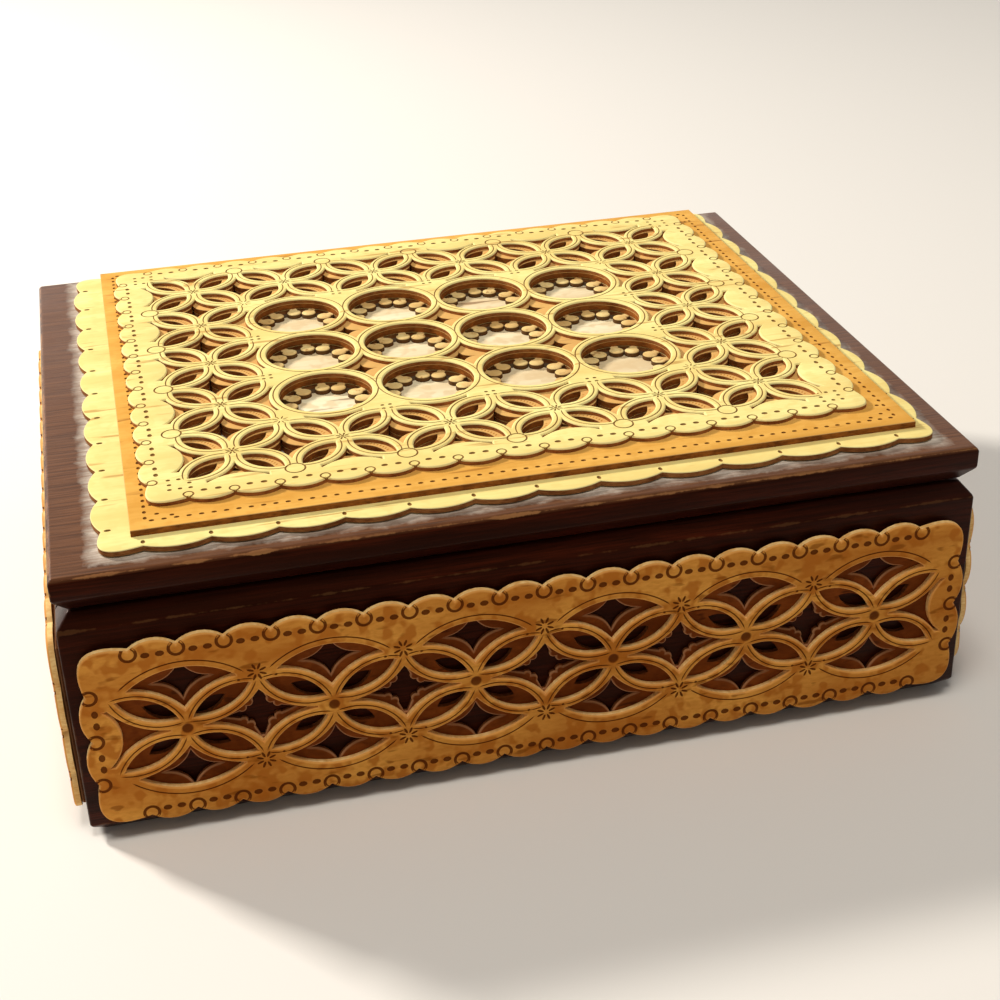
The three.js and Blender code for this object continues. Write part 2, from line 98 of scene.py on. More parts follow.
def end_material(tree, sockets):
    """Ends a material in its shader, whose own sockets get these values and links."""
    shader = add(tree, "ShaderNodeBsdfPrincipled", sockets)
    add(tree, "ShaderNodeOutputMaterial", {"Surface": shader[0]}, is_active_output=True)


# The floor is a wide pale sheet of matt paper under plain studio light. The main lamp stands
# behind the box to the left, so that the front lies in soft shade.

paper, tree = new_material("pale_paper_matt")
end_material(tree, {"Base Color": linear("#E9E6E1"), "Roughness": 0.8})

floor_mesh = bpy.data.meshes.new("floor")
floor_mesh.from_pydata([(-3, -3, 0), (3, -3, 0), (3, 3, 0), (-3, 3, 0)], [], [(0, 1, 2, 3)])
floor_mesh.materials.append(paper)
floor = new_object("floor", floor_mesh)

# The room lights the box softly, while the camera and all that is glossy see it white
world = bpy.data.worlds.new("studio")
world.use_nodes = True
tree = world.node_tree
tree.nodes.clear()
bpy.context.scene.world = world
path = add(tree, "ShaderNodeLightPath")
seen = path["Is Camera Ray"]
for ray in ("Is Glossy Ray", "Is Transmission Ray"):
    seen = add(tree, "ShaderNodeMath", {0: seen, 1: path[ray]}, operation="MAXIMUM")[0]
room = add(tree, "ShaderNodeBackground", {"Color": linear("#F3F1EE"), "Strength": 0.2})
white = add(tree, "ShaderNodeBackground", {"Color": linear("#F4F3F1"), "Strength": 1})
mixed = add(tree, "ShaderNodeMixShader", {0: seen, 1: room[0], 2: white[0]})
add(tree, "ShaderNodeOutputWorld", {"Surface": mixed[0]})


def lamp(name, place, size, power, colour):
    """A square soft lamp that points at the box."""
    data = bpy.data.lights.new(name, "AREA")
    data.size = size
    data.energy = power
    data.color = linear(colour)[:3]
    to_box = Vector((0, 0, 0.03)) - Vector(place)
    stand = new_object(name, data)
    stand.location = place
    stand.rotation_euler = to_box.to_track_quat("-Z", "Y").to_euler()


lamp("key_lamp", (-0.64, 0.56, 0.6), 0.12, 12, "#FFF8EE")
lamp("overhead_lamp", (-0.1, -0.26, 1.15), 0.35, 6.6, "#FFF8EE")


# ---- The stained wood ----
# The box is of plain boards with the grain along them. They are stained almost black brown
# and waxed to a gloss, worn pale at the edges and dulled by dust beside the bark on the lid.

BOX_WIDTH, BOX_DEPTH, BODY_HEIGHT = 160, 132, 44.1
WALL, BOTTOM, REBATE = 8, 4, 4
FOOT_CHAMFER, RIM_IN, RIM_DOWN = 2.4, 2.2, 2.6
SEAM, LID_THICKNESS, LID_BEVEL_UP, LID_EDGE = 0.4, 6.8, 2.8, 0.6
LID_BOTTOM = BODY_HEIGHT + SEAM
LID_TOP = LID_BOTTOM + LID_THICKNESS
HINGE_Y, HINGE_Z = BOX_DEPTH / 2, BODY_HEIGHT + SEAM / 2
BASE_SIZE, BASE_CENTRE = (147.4, 126), (1.2, 0.6)
half_x, half_y = BOX_WIDTH / 2, BOX_DEPTH / 2


def lay_over(tree, colour, layers):
    """Lays tints over a colour, each up to a share as its pattern goes between two values."""
    for pattern, start, end, share, tint in layers:
        cover = add(tree, "ShaderNodeMapRange", {0: pattern, 1: start, 2: end, 4: share})
        colour = add(tree, "ShaderNodeMix", {
            0: cover[0], 6: colour, 7: linear(tint),
        }, data_type="RGBA")[2]
    return colour


def stained_wood(name, grain_axis, arrises, dusty=False):
    """Dark stained and waxed wood. The grain runs along X or Y, its lines just over half a
    millimetre apart. The arrises, each at a distance in from the box's side and a height,
    are rubbed."""
    material, tree = new_material(name)
    place = add(tree, "ShaderNodeTexCoord")["Object"]
    stretch = [1, 1, 1]
    stretch["XYZ".index(grain_axis)] = 0.045
    along = add(tree, "ShaderNodeMapping", {"Vector": place, "Scale": stretch})[0]
    grain, bands, blotches, scuffs = (
        add(tree, "ShaderNodeTexNoise", {
            "Vector": vector, "Scale": scale, "Detail": detail, "Roughness": rough,
            "Distortion": distortion,
        })[0]
        for vector, scale, detail, rough, distortion in (
            (along, 1700, 6, 0.66, 0.2), (along, 210, 3, 0.5, 0), (place, 45, 4, 0.5, 0),
            (place, 120, 10, 0.68, 0),
        ))
    lines = add(tree, "ShaderNodeMapRange", {0: grain, 1: 0.36, 2: 0.66})[0]
    wide = add(tree, "ShaderNodeMapRange", {0: bands, 1: 0.32, 2: 0.68})[0]
    both = add(tree, "ShaderNodeMath", {0: lines, 1: wide}, operation="MULTIPLY")[0]

    # How far each spot lies from the nearest arris, upright corners first
    size = add(tree, "ShaderNodeVectorMath", {0: place}, operation="ABSOLUTE")[0]
    depth = add(tree, "ShaderNodeVectorMath", {
        0: (half_x * MM, half_y * MM, 0), 1: size,
    }, operation="SUBTRACT")[0]
    split = add(tree, "ShaderNodeSeparateXYZ", {0: depth})
    side = add(tree, "ShaderNodeMath", {0: split[0], 1: split[1]}, operation="MINIMUM")[0]
    nearest = add(tree, "ShaderNodeMath", {0: split[0], 1: split[1]}, operation="ADD")[0]
    for inward, height in arrises:
        across = add(tree, "ShaderNodeMath", {0: side, 1: inward * MM}, operation="SUBTRACT")
        above = add(tree, "ShaderNodeMath", {0: split[2], 1: height * MM}, operation="ADD")
        spot = add(tree, "ShaderNodeCombineXYZ", {0: across[0], 1: above[0]})
        away = add(tree, "ShaderNodeVectorMath", {0: spot[0]}, operation="LENGTH")
        nearest = add(tree, "ShaderNodeMath", {
            0: nearest, 1: away["Value"],
        }, operation="MINIMUM")[0]
    frayed = add(tree, "ShaderNodeMath", {
        0: scuffs, 1: -2.4 * MM, 2: nearest,
    }, operation="MULTIPLY_ADD")[0]
    layers = [
        (both, 0, 1, 1, "#47190B"),
        (blotches, 0.45, 0.75, 0.55, "#260D06"),
        (frayed, -1.02 * MM, -1.2 * MM, 0.75 if dusty else 0.1, "#B07C4C"),
    ]
    roughness = add(tree, "ShaderNodeMapRange", {0: blotches, 1: 0.3, 2: 0.7, 3: 0.26, 4: 0.42})[0]

    if dusty:
        # A pale haze of wax and dust lies on the margin beside the bark, thickest at its edge
        shift = add(tree, "ShaderNodeVectorMath", {
            0: place, 1: (BASE_CENTRE[0] * MM, BASE_CENTRE[1] * MM, 0),
        }, operation="SUBTRACT")[0]
        size = add(tree, "ShaderNodeVectorMath", {0: shift}, operation="ABSOLUTE")[0]
        beyond = add(tree, "ShaderNodeVectorMath", {
            0: size, 1: (BASE_SIZE[0] / 2 * MM, BASE_SIZE[1] / 2 * MM, 0),
        }, operation="SUBTRACT")[0]
        reach = add(tree, "ShaderNodeSeparateXYZ", {0: beyond})
        away = add(tree, "ShaderNodeMath", {0: reach[0], 1: reach[1]}, operation="MAXIMUM")[0]
        streaks = add(tree, "ShaderNodeTexNoise", {
            "Vector": place, "Scale": 260, "Detail": 9, "Roughness": 0.66,
        })[0]
        ragged = add(tree, "ShaderNodeMath", {
            0: streaks, 1: 4.4 * MM, 2: away,
        }, operation="MULTIPLY_ADD")[0]
        near, brushed, top, painted_top_light = (
            add(tree, "ShaderNodeMapRange", {0: pattern, 1: start, 2: end, 3: least, 4: most})[0]
            for pattern, start, end, least, most in (
                (ragged, 3.9 * MM, 1.2 * MM, 0, 1),
                (grain, 0.38, 0.62, 0.95, 0.4),
                (split[2], (0.7 - LID_TOP) * MM, (0.05 - LID_TOP) * MM, 0, 1),
                (grain, 0.36, 0.64, 0.4, 0.95),
            ))
        haze, painted_top_light = (
            add(tree, "ShaderNodeMath", {0: one, 1: two}, operation="MULTIPLY")[0]
            for one, two in ((near, brushed), (top, painted_top_light)))
        haze = add(tree, "ShaderNodeMath", {0: haze, 1: top}, operation="MULTIPLY")[0]
        # Painted light: the lid's top face gets paler brown streaks than its edges.
        layers += [(painted_top_light, 0, 1, 1, "#704A30"), (haze, 0, 1, 1, "#DDD3C4")]
        roughness = add(tree, "ShaderNodeMix", {0: haze, 2: roughness, 3: 0.7})[0]

    bump = add(tree, "ShaderNodeBump", {"Height": grain, "Strength": 0.4, "Distance": 0.12 * MM})
    end_material(tree, {
        "Base Color": lay_over(tree, linear("#170603"), layers), "Roughness": roughness,
        "Specular IOR Level": 0.24, "Specular Tint": linear("#A05A3C"),
        "Normal": bump[0],
    })
    return material


wall_arrises = ((0, FOOT_CHAMFER), (0, BODY_HEIGHT - RIM_DOWN))
lid_arrises = ((LID_EDGE / 2, LID_TOP - LID_EDGE / 2),)
wood_along = stained_wood("stained_birch_waxed_along", "X", wall_arrises)
wood_across = stained_wood("stained_birch_waxed_across", "Y", wall_arrises)
wood_lid = stained_wood("stained_birch_waxed_lid", "X", lid_arrises, True)


def block(mesh, low, high):
    """Adds a box between two corners, in millimetres."""
    for vertex in bmesh.ops.create_cube(mesh, size=1)["verts"]:
        vertex.co = [(low[i] + high[i]) / 2 + vertex.co[i] * (high[i] - low[i]) for i in range(3)]


SHARP_ANGLE = 30


def shade_round(data, angle=SHARP_ANGLE):
    """Shades a mesh smooth, and sharp where faces meet at more than an angle in degrees."""
    data.shade_smooth()
    data.set_sharp_from_angle(angle=math.radians(angle))


def finish_mesh(name, mesh, materials, angle=SHARP_ANGLE):
    """Turns a drawing in millimetres into an object in metres."""
    bmesh.ops.recalc_face_normals(mesh, faces=mesh.faces)
    mesh.transform(Matrix.Scale(MM, 4))
    data = bpy.data.meshes.new(name)
    mesh.to_mesh(data)
    mesh.free()
    shade_round(data, angle)
    for material in materials:
        data.materials.append(material)
    return new_object(name, data)


def cut_out(piece, cutter):
    """Cuts one piece by another and throws the cutter away."""
    saw = piece.modifiers.new("saw", "BOOLEAN")
    saw.operation = "DIFFERENCE"
    saw.solver = "EXACT"
    saw.object = cutter
    graph = bpy.context.evaluated_depsgraph_get()
    data = bpy.data.meshes.new_from_object(piece.evaluated_get(graph))
    piece.modifiers.clear()
    old = piece.data
    piece.data = data
    data.name = piece.name
    bpy.data.meshes.remove(old)
    bpy.data.objects.remove(cutter)
    shade_round(data)


def board(name, low, high, bottom, top, rounding, material, holes=()):
    """A softly rounded board, bevelled by a width and a height where it meets the box's outside
    at the bottom and at the top, with box-shaped recesses cut out of it."""
    mesh = bmesh.new()
    levels = (
        (low[2], bottom[0]), (low[2] + bottom[1], 0), (high[2] - top[1], 0), (high[2], top[0]),
    )
    for z, inward in levels:
        for x in (low[0], high[0]):
            for y in (low[1], high[1]):
                side_x, side_y = half_x - inward, half_y - inward
                mesh.verts.new((max(-side_x, min(side_x, x)), max(-side_y, min(side_y, y)), z))
    bmesh.ops.convex_hull(mesh, input=mesh.verts)
    bmesh.ops.dissolve_limit(mesh, angle_limit=0.01, verts=mesh.verts, edges=mesh.edges)
    bmesh.ops.bevel(
        mesh, geom=mesh.edges[:], offset=rounding, segments=3, profile=0.5, affect="EDGES")
    piece = finish_mesh(name, mesh, [material])
    if holes:
        cutters = bmesh.new()
        for hole in holes:
            block(cutters, *hole)
        cut_out(piece, finish_mesh("cutter", cutters, [material]))
    return piece


def take_place(piece, body, slot, *nodes):
    """Tells the frame what a piece moves with and the solids it stands for, which it hides. The
    slot for its material is not used.
    """
    if nodes:
        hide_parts(*nodes)
    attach(piece, body)


hinge_places = (-46, 46)
leaf_half, leaf_reach, leaf_thickness, knuckle_radius = 11, 7, 0.8, 1.5
mortise_gap = 0.15
wall_rounding, lid_rounding = 0.35, 0.3


def mortises(side):
    """The recesses of the two hinges in the body (side -1) or in the lid (side 1)."""
    holes = []
    for x in hinge_places:
        ends = (HINGE_Z - side * knuckle_radius, HINGE_Z + side * (SEAM / 2 + leaf_thickness))
        holes.append((
            (x - leaf_half - mortise_gap, HINGE_Y - leaf_reach - mortise_gap, min(ends)),
            (x + leaf_half + mortise_gap, HINGE_Y + knuckle_radius, max(ends)),
        ))
    return holes


inside_x, inside_y = half_x - WALL, half_y - WALL
floor_hole = (
    (-inside_x - REBATE, -inside_y - REBATE, -1),
    (inside_x + REBATE, inside_y + REBATE, BOTTOM),
)
walls = (
    ("front_wall", (-half_x, -half_y, 0), (half_x, -inside_y, BODY_HEIGHT), wood_along, []),
    ("back_wall", (-half_x, inside_y, 0), (half_x, half_y, BODY_HEIGHT), wood_along, mortises(-1)),
    ("left_wall", (-half_x, -inside_y, 0), (-inside_x, inside_y, BODY_HEIGHT), wood_across, []),
    ("right_wall", (inside_x, -inside_y, 0), (half_x, inside_y, BODY_HEIGHT), wood_across, []),
)
for name, low, high, material, holes in walls:
    wall = board(
        name + "_board", low, high, (FOOT_CHAMFER, FOOT_CHAMFER), (RIM_IN, RIM_DOWN),
        wall_rounding, material, [floor_hole] + holes)
    take_place(wall, "box", "stained_wood", name)

lid_piece = board(
    "lid_top_board", (-half_x, -half_y, LID_BOTTOM), (half_x, half_y, LID_TOP),
    (RIM_IN, LID_BEVEL_UP), (LID_EDGE, LID_EDGE), lid_rounding, wood_lid, mortises(1))
take_place(lid_piece, "lid", "stained_wood", "lid_board")


# ---- The bottom board and the linings ----
# The bottom is a plain unstained board let into the walls. Thin wine-red felt is glued on it
# and under the lid. None of this shows while the box is shut.

# Planed birch is pale and without gloss, with fine dark lines along it
bare_wood, tree = new_material("bare_birch_planed")
place = add(tree, "ShaderNodeTexCoord")["Object"]
along = add(tree, "ShaderNodeMapping", {"Vector": place, "Scale": (0.05, 1, 1)})[0]
grain = add(tree, "ShaderNodeTexNoise", {"Vector": along, "Scale": 700, "Detail": 5})[0]
bump = add(tree, "ShaderNodeBump", {"Height": grain, "Strength": 0.3, "Distance": 0.1 * MM})
end_material(tree, {
    "Base Color": lay_over(tree, linear("#A9794C"), [(grain, 0.35, 0.7, 1, "#7C5230")]),
    "Roughness": 0.62, "Normal": bump[0],
})

# Pressed wool is quite matt, with a faint bloom of loose fibres
felt, tree = new_material("wool_felt_pressed")
place = add(tree, "ShaderNodeTexCoord")["Object"]
fibres, worn = (
    add(tree, "ShaderNodeTexNoise", {"Vector": place, "Scale": scale, "Detail": detail})[0]
    for scale, detail in ((1400, 4), (70, 5)))
both = add(tree, "ShaderNodeMath", {0: fibres, 1: worn}, operation="MULTIPLY")[0]
bump = add(tree, "ShaderNodeBump", {"Height": fibres, "Strength": 0.6, "Distance": 0.2 * MM})
end_material(tree, {
    "Base Color": lay_over(tree, linear("#58141E"), [(both, 0.12, 0.4, 1, "#7C2430")]),
    "Roughness": 0.95, "Sheen Weight": 0.4, "Normal": bump[0],
})


# These solids keep their shape and only take their finish
for node, material in (
    ("bottom_board", bare_wood), ("bottom_lining", felt), ("lid_lining", felt),
):
    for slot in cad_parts[node].material_slots:
        slot.material = material


# ---- The way bark sheets are cut and stamped ----
# Every sheet is drawn flat as points in the complex plane, in millimetres, cut through along
# its outline and openings, and marked with knife lines and punches that darken the bark.


def arc(centre, start, end, steps):
    """Points of an arc about a centre, the short way round."""
    sweep = cmath.phase((end - centre) / (start - centre))
    return [centre + (start - centre) * cmath.rect(1, sweep * k / steps) for k in range(steps + 1)]


def bulge(start, end, rise, steps):
    """Points of an arc that bulges to the left of its chord by a rise."""
    half = abs(end - start) / 2
    radius = (half * half + rise * rise) / (2 * rise)
    left = 1j * (end - start) / abs(end - start)
    return arc((start + end) / 2 + left * (rise - radius), start, end, steps)


def circle(centre, radius, sides):
    return [centre + cmath.rect(radius, 2 * math.pi * k / sides) for k in range(sides)]


def scallops(width, height, lobe, corner_lobe, notch, steps=8):
    """A scalloped outline, and the notches between its lobes with the way into the sheet."""
    points, notches = [], []
    for side, (length, across) in enumerate([(width, height), (height, width)] * 2):
        turned = 1j ** side
        count = round((length - 2 * corner_lobe) / lobe)
        step = (length - 2 * corner_lobe) / count
        edge = notch - across / 2
        stops = [complex(corner_lobe - length / 2 + i * step, edge) for i in range(count + 1)]
        for start, end in zip(stops, stops[1:]):
            points += [p * turned for p in bulge(end, start, notch, steps)[:0:-1]]
        notches += [(p * turned, 1j * turned) for p in stops]
        corner = complex(length / 2 + notch, -across / 2 - notch)
        after = complex(length / 2 - notch, corner_lobe - across / 2)
        for k in range(2 * steps):
            t = k / (2 * steps)
            p = (1 - t) ** 2 * stops[-1] + 2 * t * (1 - t) * corner + t * t * after
            points.append(p * turned)
    return points, notches


SHORTEST_MITRE = 1.38


def inset(loop, distance):
    """The loop moved to its left by a distance, with the length of sharp mitres held back."""
    result = []
    for before, here, after in zip(loop[-1:] + loop[:-1], loop, loop[1:] + loop[:1]):
        one = 1j * (here - before) / abs(here - before)
        two = 1j * (after - here) / abs(after - here)
        middle = one + two
        if abs(middle) < 1e-6:
            middle = one * SHORTEST_MITRE
        elif abs(middle) < SHORTEST_MITRE:
            middle = middle / abs(middle) * SHORTEST_MITRE
        result.append(here + middle * distance * 2 / abs(middle) ** 2)
    return result


def counterclockwise(loop):
    area = sum((a.conjugate() * b).imag for a, b in zip(loop, loop[1:] + loop[:1]))
    return loop if area > 0 else loop[::-1]


def rectangle(width, height, centre=0):
    corner = complex(width / 2, height / 2)
    return [centre + p for p in (-corner, corner.conjugate(), corner, -corner.conjugate())]


# A mark is a list of strokes: points, how deep each lies, and whether the stroke closes

STAMP_SLOPE = 0.09


def knife_line(path, width=0.34, depth=0.16):
    """A V-shaped cut along a path that fades out at both ends."""
    left, right = [], []
    for before, here, after in zip([path[0]] + path[:-2], path[1:-1], path[2:]):
        across = 1j * (after - before) / abs(after - before) * width / 2
        left.append(here + across)
        right.append(here - across)
    rim = [path[0]] + right + [path[-1]] + left[::-1]
    return [
        (rim, [0] * len(rim), True),
        (path, [0] + [depth] * (len(path) - 2) + [0], False),
    ]


def ring_mark(centre, radius, width=0.5, depth=0.13, sides=20):
    """A stamped ring with a flat bottom."""
    outer, inner = radius + width / 2, radius - width / 2
    rings = (outer, 0), (outer - STAMP_SLOPE, depth), (inner + STAMP_SLOPE, depth), (inner, 0)
    return [(circle(centre, size, sides), [drop] * sides, True) for size, drop in rings]


def dot_mark(centre, along, width, depth=0.13, sides=10, slope=STAMP_SLOPE):
    """A stamped oval with a flat bottom, its long half given as a complex number."""
    strokes = []
    for trim, drop in ((0, 0), (slope, depth)):
        long_half = along * (1 - trim / abs(along))
        short_half = 1j * along / abs(along) * (width - trim)
        points = [long_half * p.real + short_half * p.imag + centre for p in circle(0, 1, sides)]
        strokes.append((points, [drop] * sides, True))
    return strokes


def edge_stamps(notches, ring_in, ring, lobe_in, shifts, half, dot):
    """A ring in each notch of a scalloped edge, and two dots in the lobe that follows it."""
    marks = []
    for (notch, inward), (following, same) in zip(notches, notches[1:] + notches[:1]):
        marks += ring_mark(notch + inward * ring_in, **ring)
        if same == inward:
            middle = (notch + following) / 2 + inward * lobe_in
            for shift in shifts:
                marks += dot_mark(middle + 1j * inward * shift, half * 1j * inward, **dot)
    return marks


def ray_mark(centre, radius, width=0.18):
    """A stamped star of eight strokes round a middle."""
    strokes = []
    for k in range(8):
        away = cmath.rect(radius, math.pi * (2 * k + 1) / 8)
        strokes += dot_mark(centre + away * 0.62, away * 0.38, width, depth=0.15, sides=8)
    return strokes


def edges_of(face):
    """The edges of a face, each as its two corners in the order round the face."""
    return zip(face, face[1:] + face[:1])


def either_way(a, b):
    """One name for an edge, whichever way it is walked."""
    return min(a, b), max(a, b)


def flood(faces, barriers):
    """The triangles that lie in the sheet: crossing a cut edge goes in or out of it."""
    beside = {}
    for index, face in enumerate(faces):
        for a, b in edges_of(face):
            beside.setdefault(either_way(a, b), []).append(index)
    inside = {}
    ready = []
    for key, near in beside.items():
        if len(near) == 1 and near[0] not in inside:
            inside[near[0]] = key in barriers
            ready.append(near[0])
    while ready:
        index = ready.pop()
        for a, b in edges_of(faces[index]):
            key = either_way(a, b)
            for other in beside[key]:
                if other not in inside:
                    inside[other] = inside[index] != (key in barriers)
                    ready.append(other)
    return [index for index in range(len(faces)) if inside.get(index)]


# How the rim of a cut is rounded: shares of its width, and how deep it lies there
RIM_ROUND = ((0, 0.85), (0.15, 0.42), (0.5, 0.13), (1, 0))


def carve(outline, openings, strokes, thickness, rim, sharp_openings=()):
    """A cut and marked sheet as vertices, faces with their finish, and how brown each vertex is:
    1 in the bottom of a mark, and down to -1 on the rounded rims, which are painted paler: rubbed
    wear and a painted highlight."""
    points, drops, tints, edges, cuts = [], [], [], [], set()

    def draw(path, depths, shades, closed, cuts_through=False):
        start, count = len(points), len(path)
        points.extend(path)
        drops.extend(depths)
        tints.extend(shades)
        for k in range(count if closed else count - 1):
            if cuts_through:
                cuts.add(len(edges))
            edges.append((start + k, start + (k + 1) % count))

    for loop in sharp_openings:
        draw(loop, [0] * len(loop), [0] * len(loop), True, True)
    for loop, side in [(outline, 1)] + [(opening, -1) for opening in openings]:
        loop = counterclockwise(loop)
        for share, drop in RIM_ROUND:
            moved = inset(loop, side * rim * share) if share else loop
            draw(moved, [rim * drop] * len(loop), [share - 1] * len(loop), True, share == 0)
    for path, depths, closed in strokes:
        draw(path, depths, [1.0 if depth > 0 else 0.0 for depth in depths], closed)

    flat, lines, faces, from_points, from_edges, _ = delaunay_2d_cdt(
        [Vector((p.real, p.imag)) for p in points], edges, [], 0, 1e-5)
    faces = [list(face) for face in faces]
    line_of = {}
    barriers = set()
    for line, sources in zip(lines, from_edges):
        for source in sources:
            for end in line:
                line_of.setdefault(end, []).append(source)
            if source in cuts:
                barriers.add(either_way(*line))

    top, brown = [], []
    for index, sources in enumerate(from_points):
        found = [(drops[s], tints[s]) for s in sources]
        if not found:
            # A point where two lines cross takes its depth from both
            here = complex(*flat[index])
            for a, b in (edges[source] for source in line_of.get(index, ())):
                t = min(1, abs(here - points[a]) / max(1e-9, abs(points[b] - points[a])))
                found.append(tuple(
                    values[a] * (1 - t) + values[b] * t for values in (drops, tints)))
        deepest = max((drop for drop, _ in found), default=0)
        darkest = max((tint for _, tint in found), default=0)
        palest = min((tint for _, tint in found), default=0)
        top.append(thickness - deepest)
        brown.append(darkest if darkest > 0 else palest)

    kept = flood(faces, barriers)
    vertices = [(x, y, z) for (x, y), z in zip(flat, top)]
    result = [(tuple(faces[index]), 0) for index in kept]
    directed = dict.fromkeys(edge for index in kept for edge in edges_of(faces[index]))
    walls = [
        (a, b) for a, b in directed
        if either_way(a, b) in barriers and (b, a) not in directed
    ]
    under = {}
    for a, b in walls:
        for end in (a, b):
            if end not in under:
                under[end] = len(vertices)
                vertices.append((flat[end][0], flat[end][1], 0.0))
                brown.append(0.0)
        result.append(((a, under[a], under[b], b), 1))

    ends = list(under)
    number = {end: k for k, end in enumerate(ends)}
    low_edges = [(number[a], number[b]) for a, b in walls]
    _, _, low_faces, low_from, _, _ = delaunay_2d_cdt(
        [flat[end] for end in ends], low_edges, [], 0, 1e-5)
    renamed = {k: sources[0] for k, sources in enumerate(low_from) if sources}
    low_faces = [[renamed[k] for k in face] for face in low_faces]
    for index in flood(low_faces, {either_way(*edge) for edge in low_edges}):
        a, b, c = (under[ends[k]] for k in low_faces[index])
        result.append(((c, b, a), 0))
    return vertices, result, brown


BARK_SHARP_ANGLE = 15


def bark_sheet(name, carved, placed, face, cut, body, node, slot):
    """Makes the carved sheet a piece of the box, laid in its place in millimetres."""
    vertices, faces, brown = carved
    data = bpy.data.meshes.new(name)
    data.from_pydata([placed @ Vector(v) * MM for v in vertices], [], [f for f, _ in faces])
    data.polygons.foreach_set("material_index", [finish for _, finish in faces])
    data.attributes.new("brown", "FLOAT", "POINT").data.foreach_set("value", brown)
    data.materials.append(face)
    data.materials.append(cut)
    shade_round(data, BARK_SHARP_ANGLE)
    take_place(new_object(name, data), body, slot, node)


def birch_bark(name, stretch, pale, deep, streak, stamp, rubbed, mottling=0.35):
    """The smooth inner side of birch bark: cloudy, with fine fibres and short dark pores
    across. The fibres, about 0.7 mm apart, are drawn coarser than real ones so that they show."""
    material, tree = new_material(name)
    place = add(tree, "ShaderNodeTexCoord")["Object"]
    along = add(tree, "ShaderNodeMapping", {"Vector": place, "Scale": stretch})[0]
    clouds, fibres, pores, patches = (
        add(tree, "ShaderNodeTexNoise", {
            "Vector": vector, "Scale": scale, "Detail": detail, "Roughness": rough,
        })[0]
        for vector, scale, detail, rough in (
            (along, 130, 5, 0.5), (along, 1500, 5, 0.6), (along, 560, 2, 0.5),
            (place, 420, 1, 0.5),
        ))
    burnt = add(tree, "ShaderNodeAttribute", attribute_name="brown")["Fac"]
    colour = lay_over(tree, linear(pale), (
        (clouds, 0.36, 0.66, 0.85, deep),
        (fibres, 0.42, 0.72, 0.45, deep),
        (patches, 0.5, 0.62, mottling, deep),
        (pores, 0.64, 0.71, 0.7, streak),
        # The pale tint on the rounded rims is partly rubbed wear and partly a painted highlight.
        (burnt, -0.1, -0.9, 0.75, rubbed),
        (burnt, 0.1, 0.6, 0.92, stamp),
    ))
    roughness = add(tree, "ShaderNodeMapRange", {0: fibres, 1: 0.3, 2: 0.7, 3: 0.48, 4: 0.66})
    bump = add(tree, "ShaderNodeBump", {"Height": fibres, "Strength": 0.3, "Distance": 0.05 * MM})
    soft = add(tree, "ShaderNodeBump", {
        "Height": clouds, "Strength": 0.35, "Distance": 0.5 * MM, "Normal": bump[0],
    })
    end_material(tree, {
        "Base Color": colour, "Roughness": roughness[0], "Specular IOR Level": 0.06,
        "Specular Tint": linear("#E0B080"), "Normal": soft[0],
    })
    return material


def cut_bark(name, pale, deep):
    """The knife-cut edge of bark, which shows its yearly layers as fine stripes."""
    material, tree = new_material(name)
    place = add(tree, "ShaderNodeTexCoord")["Object"]
    along = add(tree, "ShaderNodeMapping", {"Vector": place, "Scale": (0.3, 0.3, 1)})[0]
    layers, clouds = (
        add(tree, "ShaderNodeTexNoise", {"Vector": vector, "Scale": scale, "Detail": 3})[0]
        for vector, scale in ((along, 3200), (place, 260)))
    both = add(tree, "ShaderNodeMath", {0: layers, 1: clouds}, operation="ADD")[0]
    bump = add(tree, "ShaderNodeBump", {"Height": layers, "Strength": 0.25, "Distance": 0.05 * MM})
    end_material(tree, {
        "Base Color": lay_over(tree, linear(pale), [(both, 0.75, 1.25, 1, deep)]),
        "Roughness": 0.6, "Specular IOR Level": 0.06, "Normal": bump[0],
    })
    return material


# ---- The pierced flower pattern ----
# Petals lie between each flower and the stars round it. The star-shaped openings between
# four petals follow the petals' outer edges, which are arcs too.


def arc_radius(length, rise):
    return length * length / (8 * rise) + rise / 2


def petal_lens(flower, reach, skew, length, width, steps, shift=0):
    """A pointed lens along a petal, and its axis."""
    side = 1 if reach.real * reach.imag > 0 else -1
    axis = reach / abs(reach) * cmath.rect(1, math.radians(-side * skew))
    middle = flower + reach / 2 + axis * shift
    tip, root = middle + axis * length / 2, middle - axis * length / 2
    return bulge(root, tip, width / 2, steps)[:-1] + bulge(tip, root, width / 2, steps)[:-1]


def outer_edge(reach, petal):
    """Middle and radius of the circle that a petal's outer edge follows."""
    radius = arc_radius(petal["edge_length"], petal["edge_width"] / 2)
    away = radius - petal["edge_width"] / 2
    tilt = cmath.phase(reach) - math.radians(petal["skew"])
    return reach / 2 + away * complex(math.sin(tilt), math.cos(tilt)), radius


def leave_hub(centre, radius, hub_middle, hub):
    """Where a circle leaves the round hub of a flower or star, on the side of the origin."""
    to_hub = hub_middle - centre
    distance = abs(to_hub)
    along = (radius ** 2 - hub ** 2 + distance ** 2) / (2 * distance)
    across = math.sqrt(max(0, radius ** 2 - along ** 2))
    unit = to_hub / distance
    ends = [centre + unit * (along + turn * across) for turn in (1j, -1j)]
    return min(ends, key=abs)


